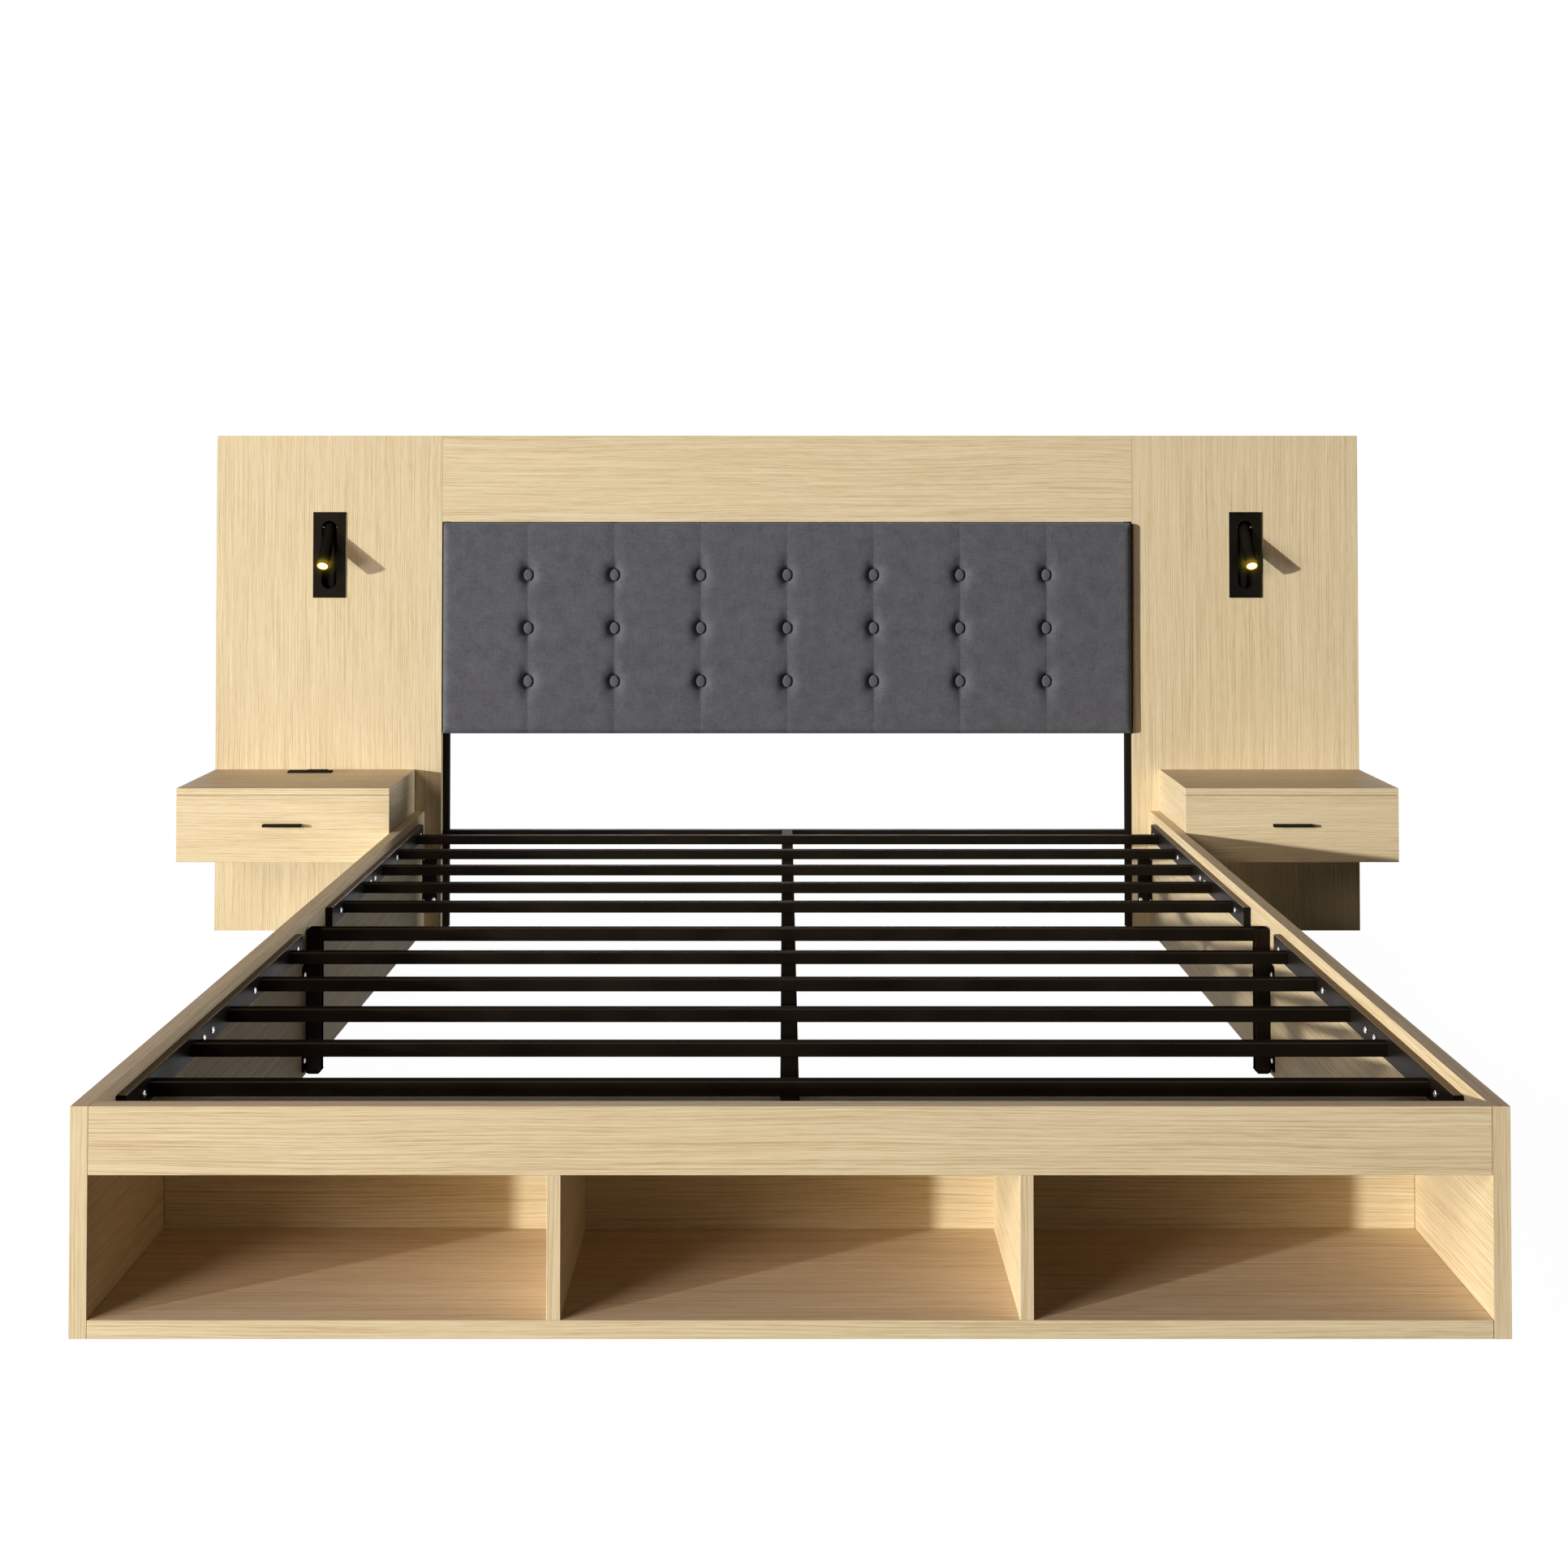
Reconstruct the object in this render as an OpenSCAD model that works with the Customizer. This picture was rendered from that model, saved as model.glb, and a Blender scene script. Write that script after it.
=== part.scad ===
// Platform bed for a queen mattress, with an open storage foot, a tufted
// headboard, two floating nightstands with drawers, and two reading lamps
// that fold into the headboard.
//
// Millimetres. +X is the right-hand side for someone at the foot who faces
// the headboard, +Y points from foot to head and +Z is up. The origin is on
// the floor, at the middle of the bed's outer box.

/* [Bed] */
// Width across the two side panels
bed_w = 1630; // [1600:5:1700]
// Length from the footboard's front to the headboard's front
bed_l = 2070; // [2060:5:2120]
// Height of the side panels and the footboard
side_h = 261; // [255:1:290]
// Thickness of the bed's and the headboard's boards
board_t = 20; // [18:0.5:22]

/* [Foot storage] */
// Depth of the compartments, from the footboard's front to the back board
storage_d = 276; // [240:1:300]
// Thickness of the board that stands on the floor
storage_bottom_t = 21; // [18:0.5:22]
// Clear height of the compartments
storage_clear_h = 162.5; // [150:0.5:163]
// Thickness of the board above the compartments
storage_top_t = 14.5; // [12:0.5:14.5]
// Thickness of the back board and of the dividers
storage_wall_t = 16; // [12:0.5:20]
// Number of compartments
compartments = 3; // [2:1:4]

/* [Slat deck] */
// Side of the square slat tube
slat = 18.5; // [16:0.5:20]
// Height of the slats' top
deck_z = 235.8; // [235:0.2:240]
// How far the middle cross tube stands above the slats
middle_rise = 2.2; // [0:0.1:3]
// Slats in each of the two sections
slats_each = 5; // [3:1:5]
// Distance between the slats of one section
slat_pitch = 168.4; // [120:0.1:169]
// Width of a slat rail's tube
rail_w = 12; // [11:0.5:18]
// Height of a slat rail's tube
rail_h = 34; // [30:0.5:36]
// Length of one slat rail
rail_l = 848; // [840:1:850]
// Where the front slat rail starts, from the footboard's front
front_rail_start = 93; // [80:1:110]
// Where the back slat rail starts, from the footboard's front
back_rail_start = 1144.5; // [1140:0.5:1160]
// Where the middle cross tube starts, from the footboard's front
middle_start = 1010.5; // [1000:0.5:1040]
// Width of a middle leg
leg_w = 25; // [20:1:28]
// Width of the centre beam
beam_w = 23.5; // [20:0.5:28]
// Wall of every steel tube
tube_wall = 1.5; // [1.2:0.1:2]

/* [Headboard] */
// Width over both nightstands
head_w = 2509; // [2480:1:2560]
// Height of the headboard
head_h = 1084; // [1060:1:1150]
// Width of one side board
head_side_w = 495.7; // [480:0.1:510]
// Height of the centre board
head_centre_h = 189; // [170:1:200]
// Width of the padded panel
pad_w = 1514; // [1500:1:1516]
// Height of the padded panel
pad_h = 465; // [430:1:480]
// Depth of the padding on its board, at the crown
pad_t = 28; // [22:1:34]
// Tufts across the padded panel
tuft_columns = 7; // [5:2:7]
// Rows of tufts
tuft_rows = 3; // [2:1:3]
// How far a tuft is drawn in
tuft_d = 14; // [8:1:15]
// Diameter of a covered button
button_d = 24; // [20:1:26]
// Depth of the steel frame behind the boards
frame_d = 20; // [20:1:30]
// Width of a steel upright
upright_w = 30; // [25:1:40]

/* [Nightstands] */
// Width of a nightstand
stand_w = 437; // [420:1:438]
// Depth from the headboard to the drawer's front
stand_d = 278; // [270:1:340]
// Height of the nightstand's top above the floor
stand_top_z = 352; // [340:1:420]
// Height of the whole nightstand
stand_h = 151; // [149:1:180]
// Thickness of the nightstand's top board and drawer front
stand_front_t = 14; // [13:0.5:18]
// Thickness of the sides and the bottom
stand_wall_t = 12; // [10:0.5:14]
// Length of a drawer's side
drawer_l = 235; // [220:1:238]
// How far a drawer slides out
drawer_travel = 180; // [120:1:180]
// Length of the bar handle
handle_l = 78.5; // [60:0.5:128]
// How far the bar handle stands out
handle_out = 12.5; // [10:0.5:20]

/* [Reading lamps] */
// Width of the lamp's plate
lamp_plate_w = 70; // [60:1:80]
// Height of the lamp's plate
lamp_plate_h = 188; // [180:1:210]
// Height of the plate's middle above the floor
lamp_z = 822; // [780:0.5:900]
// Diameter of the tube head
lamp_d = 26; // [22:1:28]
// Length of the tube head below its pivot
lamp_reach = 113; // [90:1:120]
// Tilt of the head as it stands, out of its recess
lamp_tilt = 42; // [0:1:90]

/* [Hidden] */
$fn = 48;

// Colours
oak = "#ead3a0";
drawer_wood = "#d9c49a";
fibreboard = "#8f7355";
fabric_grey = "#56565c";
button_grey = "#5e5e64";
steel_black = "#17140f";
plastic_black = "#100e0c";
lamp_black = "#14120f";
zinc = "#c8c8ca";
glow = "#ffd773";

// Gaps: a closed joint of two boards, and between parts that pass each other
joint_gap = 0.5;
pass_gap = 0.4;
tube_r = 2;

// Screws
screw_d = 5;
screw_head_d = 9;
screw_head_h = 2.5;
screw_bite = 14;
hole_d = screw_d + 0.2;

// The bed's frame of reference
overall_d = bed_l + board_t + frame_d + screw_head_h;
foot_y = -overall_d / 2;
head_y = foot_y + bed_l;
head_back_y = head_y + board_t;
inner_x = bed_w / 2 - board_t;

// Foot storage
storage_ceiling_z = storage_bottom_t + storage_clear_h;
storage_top_z = storage_ceiling_z + storage_top_t;
storage_inner_w = 2 * (inner_x - joint_gap);
compartment_w = (storage_inner_w - (compartments - 1) * storage_wall_t) / compartments;

// Slat deck
slat_bottom_z = deck_z - slat;
rail_top_z = deck_z + 8.7;
rail_z = rail_top_z - rail_h / 2;
rail_inner_x = inner_x - rail_w;
rail_starts = [foot_y + front_rail_start, foot_y + back_rail_start];
first_slat = 84.5;
rail_screw_z = rail_top_z - 17.7;
rail_screw_stations = [65, 309, 349, 560, 814];
plug_cap_t = 2;
plug_depth = 10;
middle_y = foot_y + middle_start;
middle_d = 20;
middle_top_z = deck_z + middle_rise;
middle_h = middle_top_z - slat_bottom_z;
leg_inner_x = inner_x - leg_w;
leg_foot_h = 6;
leg_cap_h = 4;
tab_t = tube_wall;
tab_reach = 27;
tab_zs = [[8.5, 40], [150, 182]];
tab_screw_y = middle_y - 14;
tab_screw_zs = [26, 166];

// Centre beam: it lies on the storage's top board and meets the head rail
beam_h = slat_bottom_z - storage_top_z;
beam_front_y = foot_y + board_t + 2;
centre_leg_y = middle_y + middle_d / 2;
centre_leg_d = 20;

// Headboard
head_inner_x = head_w / 2 - head_side_w;
centre_z = head_h - head_centre_h;
pad_z0 = centre_z - 0.5 - pad_h;
pad_board_t = 12;
pad_board_inset = 4;
pad_back_y = head_back_y - pad_board_t;
upright_out = 16.5;
upright_x = head_inner_x + upright_out - upright_w / 2;
upright_h = head_h - 24;
head_rail_h = 30;
head_rail_drop = 2.2;
head_rail_z0 = slat_bottom_z - head_rail_drop - head_rail_h;
cross_span = 2 * (upright_x - upright_w / 2);
cross_rail_z0s = [470, 845, 990];
upright_screw_side_zs = [140, 480, 830, 1020];
upright_screw_centre_zs = [930, 1040];
upright_screw_side_x = head_inner_x + 8;
upright_screw_centre_x = head_inner_x - 7;
cross_screw_xs = [-560, 0, 560];

// Corner brackets between the side panels and the headboard
bracket_w = 27;
bracket_t = 2;
bracket_z = [55, 175];
bracket_screw_zs = [68, 162];
bracket_screw_in = 6.5;

// Padding: stations of its grid, round the border and round each tuft
pad_edge = 11;
pad_roll = 18;
well = 13;
well_rim = 29;
tuft_reach = 42;
tuft_steep = 2.4;
crease_d = 3;
crease_reach = 34;
edge_draw = 2.5;
corner_draw = 4;
tuft_dx = pad_w / (tuft_columns + 1);
tuft_dz = pad_h / (tuft_rows + 1);
tuft_xs = [for (i = [1 : tuft_columns]) -pad_w / 2 + i * tuft_dx];
tuft_zs = [for (j = [1 : tuft_rows]) pad_z0 + j * tuft_dz];
button_h = 7;
button_edge = 3;

// Nightstands
stand_outer_x = head_w / 2 - 1;
stand_inner_x = stand_outer_x - stand_w;
stand_mid_x = (stand_outer_x + stand_inner_x) / 2;
stand_front_y = head_y - stand_d;
stand_z0 = stand_top_z - stand_h;
stand_under_top_z = stand_top_z - stand_front_t;
stand_back_t = 15;
stand_carcass_y = stand_front_y + stand_front_t + 1;
drawer_front_gap = 1;
drawer_front_top_z = stand_under_top_z - drawer_front_gap;
drawer_wall_t = 12;
drawer_y0 = stand_front_y + stand_front_t;
drawer_y1 = drawer_y0 + drawer_l;
drawer_side_gap = 12.5;
drawer_x0 = stand_inner_x + stand_wall_t + drawer_side_gap;
drawer_x1 = stand_outer_x - stand_wall_t - drawer_side_gap;
drawer_z0 = stand_z0 + 20;
drawer_h = 90;
drawer_base_t = 5;
drawer_base_z = drawer_z0 + 8;
stand_bolt_d = 6;
stand_bolt_head_d = 12;
stand_bolt_xs = [-160, 160];
stand_bolt_zs = [stand_z0 + 35, stand_z0 + 105];

// Drawer runners
track_z = drawer_z0 + 20;
track_h = 24;
track_t = 1.2;
track_w = 9;
track_y0 = stand_carcass_y + 4;
track_y1 = head_y - stand_back_t - 3;
roller_x0 = 2;
roller_w = 6;
wheel_r = track_h / 2 - track_t - pass_gap;
stop_r = 8;
stop_gap = 6.6;
wheel_y = drawer_y1 - 14;
stop_y = wheel_y - drawer_travel - wheel_r - stop_r - stop_gap;
runner_flange_z = track_z + stop_r + pass_gap;

// Bar handle
handle_h = 5.5;
handle_z = stand_z0 + 75.6;

// Charging station, on the left nightstand
station_w = 94;
station_d = 22;
station_t = 3.8;
station_corner = 1.5;
station_y = head_y - 47;
station_x = -stand_mid_x;
socket_w = 43;
socket_d = 19;
socket_rise = 5.5;
socket_dx = 14.8;
body_d = 18.5;
body_h = 26;

// Reading lamps
lamp_x = head_inner_x + head_side_w / 2;
lamp_plate_t = 3;
slot_w = 33;
slot_h = 150;
recess_wall = 1.5;
cutout_gap = 0.5;
pin_r = 2;
pin_gap = 0.05;
pivot_y = head_y + 12;
pivot_z = lamp_z + slot_h / 2 - lamp_d / 2 - 1.4;
head_wall = 1.5;
head_bore_r = lamp_d / 2 - head_wall;
lens_t = 3;
lens_in = 2;
boss_reach = 18;

// ---- Shared shapes ----

// A right-hand piece, or its mirror image on the left
module on_side(side) {
    if (side > 0) children();
    else mirror([1, 0, 0]) children();
}

module on_both_sides() {
    for (side = [-1, 1]) on_side(side) children();
}

// A board from its low and high edges in X, Y and Z
module board(x, y, z) {
    translate([x[0], y[0], z[0]]) cube([x[1] - x[0], y[1] - y[0], z[1] - z[0]]);
}

module rounded_rect(w, h, r) {
    square([w - 2 * r, h], center = true);
    square([w, h - 2 * r], center = true);
    for (x = [-1, 1], y = [-1, 1])
        translate([x * (w / 2 - r), y * (h / 2 - r)]) circle(r);
}

module tube_profile(w, h) {
    difference() {
        rounded_rect(w, h, tube_r);
        rounded_rect(w - 2 * tube_wall, h - 2 * tube_wall, tube_r - tube_wall);
    }
}

// Turns a profile drawn in X and Y so that its extrusion runs along one axis
module along_x() { rotate([90, 0, 90]) children(); }
module along_y() { rotate([-90, 0, 0]) mirror([0, 1, 0]) children(); }

// Upright stadium, middle at the origin
module stadium(w, h) {
    square([w, h - w], center = true);
    for (z = [-1, 1]) translate([0, z * (h - w) / 2]) circle(w / 2);
}

// Pan-head screw: head on the origin's plane, shank along -Z
module screw(bite) {
    cylinder(d = screw_head_d, h = screw_head_h);
    translate([0, 0, -bite]) cylinder(d = screw_d, h = bite);
}

// Hole for a screw's shank, a little past both ends
module screw_hole(bite) {
    translate([0, 0, -bite - 0.2]) cylinder(d = hole_d, h = bite + 1);
}

// ---- Places of the screws, shared by each screw and its holes ----

// On a right-hand rail's inner face, pointing out of the panel
module at_rail_screws(start) {
    for (s = rail_screw_stations)
        translate([rail_inner_x, start + s, rail_screw_z]) rotate([0, -90, 0]) children();
}

module at_tab_screws() {
    for (z = tab_screw_zs)
        translate([inner_x - tab_t, tab_screw_y, z]) rotate([0, -90, 0]) children();
}

module at_bracket_screws_side() {
    for (z = bracket_screw_zs)
        translate([inner_x - bracket_t, head_y - bracket_w + bracket_screw_in, z])
            rotate([0, -90, 0]) children();
}

module at_bracket_screws_head() {
    for (z = bracket_screw_zs)
        translate([inner_x - bracket_w + bracket_screw_in, head_y - bracket_t, z])
            rotate([90, 0, 0]) children();
}

// Behind the headboard, pointing backwards
module at_frame_screws(x, zs) {
    for (z = zs)
        translate([x, head_back_y + frame_d, z]) rotate([-90, 0, 0]) children();
}

module at_stand_bolts() {
    for (x = stand_bolt_xs, z = stand_bolt_zs)
        translate([stand_mid_x + x, head_back_y, z]) rotate([-90, 0, 0]) children();
}

// ---- Wooden body ----

module side_panel(side) {
    color(oak) on_side(side) difference() {
        board([inner_x, bed_w / 2], [foot_y, head_y], [0, side_h]);
        for (start = rail_starts) at_rail_screws(start) screw_hole(rail_w + screw_bite);
        at_tab_screws() screw_hole(tab_t + screw_bite);
        at_bracket_screws_side() screw_hole(bracket_t + screw_bite);
    }
}

module footboard_rail() {
    color(oak) board([-inner_x + joint_gap, inner_x - joint_gap],
        [foot_y, foot_y + board_t], [storage_ceiling_z, side_h]);
}

module storage_bottom() {
    color(oak) board([-inner_x + joint_gap, inner_x - joint_gap],
        [foot_y, foot_y + storage_d + storage_wall_t], [0, storage_bottom_t]);
}

module storage_top() {
    color(oak) board([-inner_x + joint_gap, inner_x - joint_gap],
        [foot_y + board_t, foot_y + storage_d + storage_wall_t], [storage_ceiling_z, storage_top_z]);
}

module storage_back() {
    color(oak) board([-inner_x + joint_gap, inner_x - joint_gap],
        [foot_y + storage_d, foot_y + storage_d + storage_wall_t], [storage_bottom_t, storage_ceiling_z]);
}

module storage_dividers() {
    color(oak) for (i = [1 : compartments - 1]) {
        x = -storage_inner_w / 2 + i * compartment_w + (i - 1) * storage_wall_t;
        board([x, x + storage_wall_t], [foot_y, foot_y + storage_d], [storage_bottom_t, storage_ceiling_z]);
    }
}

// ---- Headboard ----

module lamp_cutout() {
    translate([lamp_x, head_y - 1, lamp_z]) along_y()
        linear_extrude(board_t + 2)
            stadium(slot_w + 2 * (recess_wall + cutout_gap), slot_h + 2 * (recess_wall + cutout_gap));
}

module headboard_side(side) {
    color(oak) on_side(side) difference() {
        board([head_inner_x, head_w / 2], [head_y, head_back_y], [0, head_h]);
        lamp_cutout();
        at_frame_screws(upright_screw_side_x, upright_screw_side_zs) screw_hole(frame_d + screw_bite);
        at_bracket_screws_head() screw_hole(bracket_t + screw_bite);
        at_stand_bolts() translate([0, 0, -board_t - 1])
            cylinder(d = stand_bolt_d + 0.2, h = board_t + 2);
    }
}

module headboard_centre_panel() {
    color(oak) difference() {
        board([-head_inner_x + joint_gap, head_inner_x - joint_gap], [head_y, head_back_y], [centre_z, head_h]);
        on_both_sides() at_frame_screws(upright_screw_centre_x, upright_screw_centre_zs)
            screw_hole(frame_d + screw_bite);
        for (x = cross_screw_xs)
            at_frame_screws(x, [cross_rail_z0s[2] + head_rail_h / 2]) screw_hole(frame_d + screw_bite);
    }
}

module padded_panel_board() {
    color(fibreboard) difference() {
        board([-pad_w / 2 + pad_board_inset, pad_w / 2 - pad_board_inset], [pad_back_y, head_back_y],
            [pad_z0 + pad_board_inset, pad_z0 + pad_h - pad_board_inset]);
        for (x = cross_screw_xs, i = [0, 1])
            at_frame_screws(x, [cross_rail_z0s[i] + head_rail_h / 2]) screw_hole(frame_d + pad_board_t - 2);
    }
}

// The padding is a grid of stations in X and Z, close together at the rolled
// border and round the tufts. Each station's depth comes from three forms:
// the roll of the border, the steep wells of the tufts and the sewn creases
// that run through each column of tufts, where the grid has a station too.
function stations(low, high, tufts, creased) = concat(
    [low, low + pad_roll / 4, low + pad_roll],
    [for (i = [0 : len(tufts) - 1]) each concat(
        [tufts[i] - (i == 0 ? (tufts[0] - low) : (tufts[i] - tufts[i - 1])) / 2],
        [tufts[i] - well_rim, tufts[i] - well],
        creased ? [tufts[i]] : [],
        [tufts[i] + well, tufts[i] + well_rim])],
    [(tufts[len(tufts) - 1] + high) / 2, high - pad_roll, high - pad_roll / 4, high]);

function roll(d) = d >= pad_roll ? 1 : sqrt(1 - pow(1 - d / pad_roll, 2));
function fall(t) = t >= 1 ? 0 : (1 + cos(180 * t)) / 2;
function sink(t) = t >= 1 ? 0 : pow(1 - t, tuft_steep);
function past_well(d) = max(abs(d) - well, 0);
function tuft_pull(x, z) = max([for (tx = tuft_xs, tz = tuft_zs)
    sink(norm([past_well(x - tx), past_well(z - tz)]) / tuft_reach)]);
function crease_pull(x) = max([for (tx = tuft_xs) fall(abs(x - tx) / crease_reach)]);
function border_roll(x, z) = min(roll(pad_w / 2 - abs(x)), roll(min(z - pad_z0, pad_z0 + pad_h - z)));
function pad_depth(x, z) = pad_edge + (pad_t - pad_edge) * border_roll(x, z)
    - border_roll(x, z) * max(tuft_d * tuft_pull(x, z), crease_d * crease_pull(x));
// The covered border is drawn in a little, more at the corners
function drawn_x(x, z) = x - sign(x) * (1 - border_roll(x, pad_z0 + pad_h / 2))
    * (edge_draw + corner_draw * fall(min(z - pad_z0, pad_z0 + pad_h - z) / pad_roll));
function drawn_z(x, z) = z + sign(pad_z0 + pad_h / 2 - z) * (1 - border_roll(0, z))
    * (edge_draw + corner_draw * fall((pad_w / 2 - abs(x)) / pad_roll) + crease_pull(x));

module padded_panel() {
    xs = stations(-pad_w / 2, pad_w / 2, tuft_xs, true);
    zs = stations(pad_z0, pad_z0 + pad_h, tuft_zs, false);
    nx = len(xs);
    nz = len(zs);
    border = concat(
        [for (i = [0 : nx - 1]) [i, 0]],
        [for (j = [1 : nz - 1]) [nx - 1, j]],
        [for (i = [nx - 2 : -1 : 0]) [i, nz - 1]],
        [for (j = [nz - 2 : -1 : 1]) [0, j]]);
    nb = len(border);
    front = [for (x = xs, z = zs) [drawn_x(x, z), pad_back_y - pad_depth(x, z), drawn_z(x, z)]];
    back = [for (b = border) [xs[b[0]], pad_back_y, zs[b[1]]]];
    middle = [[0, pad_back_y, pad_z0 + pad_h / 2]];
    n = nx * nz;
    faces = concat(
        [for (i = [0 : nx - 2], j = [0 : nz - 2]) each
            [[i * nz + j, i * nz + j + 1, (i + 1) * nz + j + 1], [i * nz + j, (i + 1) * nz + j + 1, (i + 1) * nz + j]]],
        [for (k = [0 : nb - 1]) let (m = (k + 1) % nb,
            a = border[k][0] * nz + border[k][1], b = border[m][0] * nz + border[m][1]) each
            [[a, b, n + m], [a, n + m, n + k]]],
        [for (k = [0 : nb - 1]) [n + k, n + (k + 1) % nb, n + nb]]);
    color(fabric_grey) polyhedron(points = concat(front, back, middle), faces = faces);
}

// Flat covered buttons with a rounded edge, one in each well
module tuft_buttons() {
    r = button_d / 2;
    color(button_grey) for (x = tuft_xs, z = tuft_zs)
        translate([x, pad_back_y - (pad_t - tuft_d), z]) rotate([90, 0, 0]) rotate_extrude() {
            square([r, button_h - button_edge]);
            square([r - button_edge, button_h]);
            translate([r - button_edge, button_h - button_edge]) circle(button_edge);
        }
}

module upright(side) {
    color(steel_black) on_side(side) difference() {
        translate([upright_x, head_back_y + frame_d / 2, leg_foot_h])
            linear_extrude(upright_h - leg_foot_h) tube_profile(upright_w, frame_d);
        at_frame_screws(upright_screw_side_x, upright_screw_side_zs) screw_hole(frame_d + screw_bite);
        at_frame_screws(upright_screw_centre_x, upright_screw_centre_zs) screw_hole(frame_d + screw_bite);
    }
}

module cross_rail(z0) {
    translate([-cross_span / 2, head_back_y + frame_d / 2, z0 + head_rail_h / 2]) along_x()
        linear_extrude(cross_span) tube_profile(frame_d, head_rail_h);
}

module head_cross_rail() {
    color(steel_black) cross_rail(head_rail_z0);
}

module hidden_cross_rails() {
    color(steel_black) difference() {
        for (z0 = cross_rail_z0s) cross_rail(z0);
        for (x = cross_screw_xs, z0 = cross_rail_z0s)
            at_frame_screws(x, [z0 + head_rail_h / 2]) screw_hole(frame_d + screw_bite);
    }
}

// ---- Slat deck ----

module slat_rail(side, start) {
    color(steel_black) on_side(side) difference() {
        translate([inner_x - rail_w / 2, start + plug_cap_t, rail_z]) along_y()
            linear_extrude(rail_l - 2 * plug_cap_t) tube_profile(rail_w, rail_h);
        at_rail_screws(start) screw_hole(rail_w + screw_bite);
    }
}

module slats(start) {
    color(steel_black) for (i = [0 : slats_each - 1])
        translate([-rail_inner_x, start + first_slat + i * slat_pitch + slat / 2, deck_z - slat / 2])
            along_x() linear_extrude(2 * rail_inner_x) tube_profile(slat, slat);
}

module middle_cross_tube() {
    color(steel_black) translate([-leg_inner_x, middle_y + middle_d / 2, slat_bottom_z + middle_h / 2]) along_x()
        linear_extrude(2 * leg_inner_x) tube_profile(middle_d, middle_h);
}

// Flat tab against the side panel, in line with the leg's outer wall, its
// front corners cut off
module leg_tab(z) {
    cut = 4;
    front = middle_y - tab_reach;
    back = middle_y + middle_d / 2;
    translate([inner_x - tab_t, 0, 0]) along_x() linear_extrude(tab_t) polygon([
        [back, z[0]], [back, z[1]],
        [front + cut, z[1]], [front, z[1] - cut], [front, z[0] + cut], [front + cut, z[0]]]);
}

module middle_leg(side) {
    color(steel_black) on_side(side) difference() {
        union() {
            translate([inner_x - leg_w / 2, middle_y + middle_d / 2, leg_foot_h])
                linear_extrude(middle_top_z - leg_cap_h - leg_foot_h) tube_profile(leg_w, middle_d);
            for (z = tab_zs) leg_tab(z);
        }
        at_tab_screws() screw_hole(tab_t + screw_bite);
    }
}

module centre_beam() {
    color(steel_black) translate([0, beam_front_y, storage_top_z + beam_h / 2]) along_y()
        linear_extrude(head_back_y - beam_front_y) tube_profile(beam_w, beam_h);
}

module centre_leg() {
    color(steel_black) translate([0, centre_leg_y, leg_foot_h])
        linear_extrude(storage_top_z - leg_foot_h) tube_profile(centre_leg_d, centre_leg_d);
}

// Plastic foot: a cap under the tube with chamfered edges, and its stem
module tube_foot(w, d) {
    cut = 4;
    translate([0, d / 2, 0]) rotate([90, 0, 0]) linear_extrude(d) polygon([
        [-w / 2 + cut, 0], [w / 2 - cut, 0], [w / 2, cut], [w / 2, leg_foot_h], [-w / 2, leg_foot_h], [-w / 2, cut]]);
    translate([0, 0, leg_foot_h - 1]) linear_extrude(plug_depth)
        square([w - 2 * tube_wall - 1, d - 2 * tube_wall - 1], center = true);
}

module leg_feet() {
    color(plastic_black) {
        on_both_sides() {
            translate([inner_x - leg_w / 2, middle_y + middle_d / 2, 0]) tube_foot(leg_w, middle_d);
            translate([upright_x, head_back_y + frame_d / 2, 0]) tube_foot(upright_w, frame_d);
        }
        translate([0, centre_leg_y, 0]) tube_foot(centre_leg_d, centre_leg_d);
    }
}

// Plug for a tube that runs along Z: cap and stem
module tube_plug(w, h) {
    linear_extrude(plug_cap_t) rounded_rect(w, h, tube_r);
    translate([0, 0, -plug_depth]) linear_extrude(plug_depth + 1)
        square([w - 2 * tube_wall - 1, h - 2 * tube_wall - 1], center = true);
}

// Cap of a middle leg, with its outer top corner cut off
module leg_cap() {
    top = middle_top_z;
    low = top - leg_cap_h;
    cut = 4;
    translate([0, middle_y + middle_d, 0]) rotate([90, 0, 0]) linear_extrude(middle_d) polygon([
        [leg_inner_x, low], [inner_x, low], [inner_x, top - cut], [inner_x - cut, top], [leg_inner_x, top]]);
}

module tube_plugs() {
    color(plastic_black) on_both_sides() {
        for (start = rail_starts) {
            translate([inner_x - rail_w / 2, start + plug_cap_t, rail_z]) rotate([90, 0, 0])
                tube_plug(rail_w, rail_h);
            translate([inner_x - rail_w / 2, start + rail_l - plug_cap_t, rail_z]) rotate([-90, 0, 0])
                tube_plug(rail_w, rail_h);
        }
        translate([upright_x, head_back_y + frame_d / 2, upright_h]) tube_plug(upright_w, frame_d);
        leg_cap();
    }
}

module corner_brackets() {
    color(steel_black) on_both_sides() difference() {
        translate([0, 0, bracket_z[0]]) linear_extrude(bracket_z[1] - bracket_z[0]) polygon([
            [inner_x, head_y], [inner_x, head_y - bracket_w],
            [inner_x - bracket_t, head_y - bracket_w], [inner_x - bracket_t, head_y - bracket_t],
            [inner_x - bracket_w, head_y - bracket_t], [inner_x - bracket_w, head_y]]);
        at_bracket_screws_side() screw_hole(bracket_t + screw_bite);
        at_bracket_screws_head() screw_hole(bracket_t + screw_bite);
    }
}

// ---- Screws ----

module rail_screws() {
    color(zinc) on_both_sides()
        for (start = rail_starts) at_rail_screws(start) screw(rail_w + screw_bite);
}

module bracket_screws() {
    color(zinc) on_both_sides() {
        at_tab_screws() screw(tab_t + screw_bite);
        at_bracket_screws_side() screw(bracket_t + screw_bite);
        at_bracket_screws_head() screw(bracket_t + screw_bite);
    }
}

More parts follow.
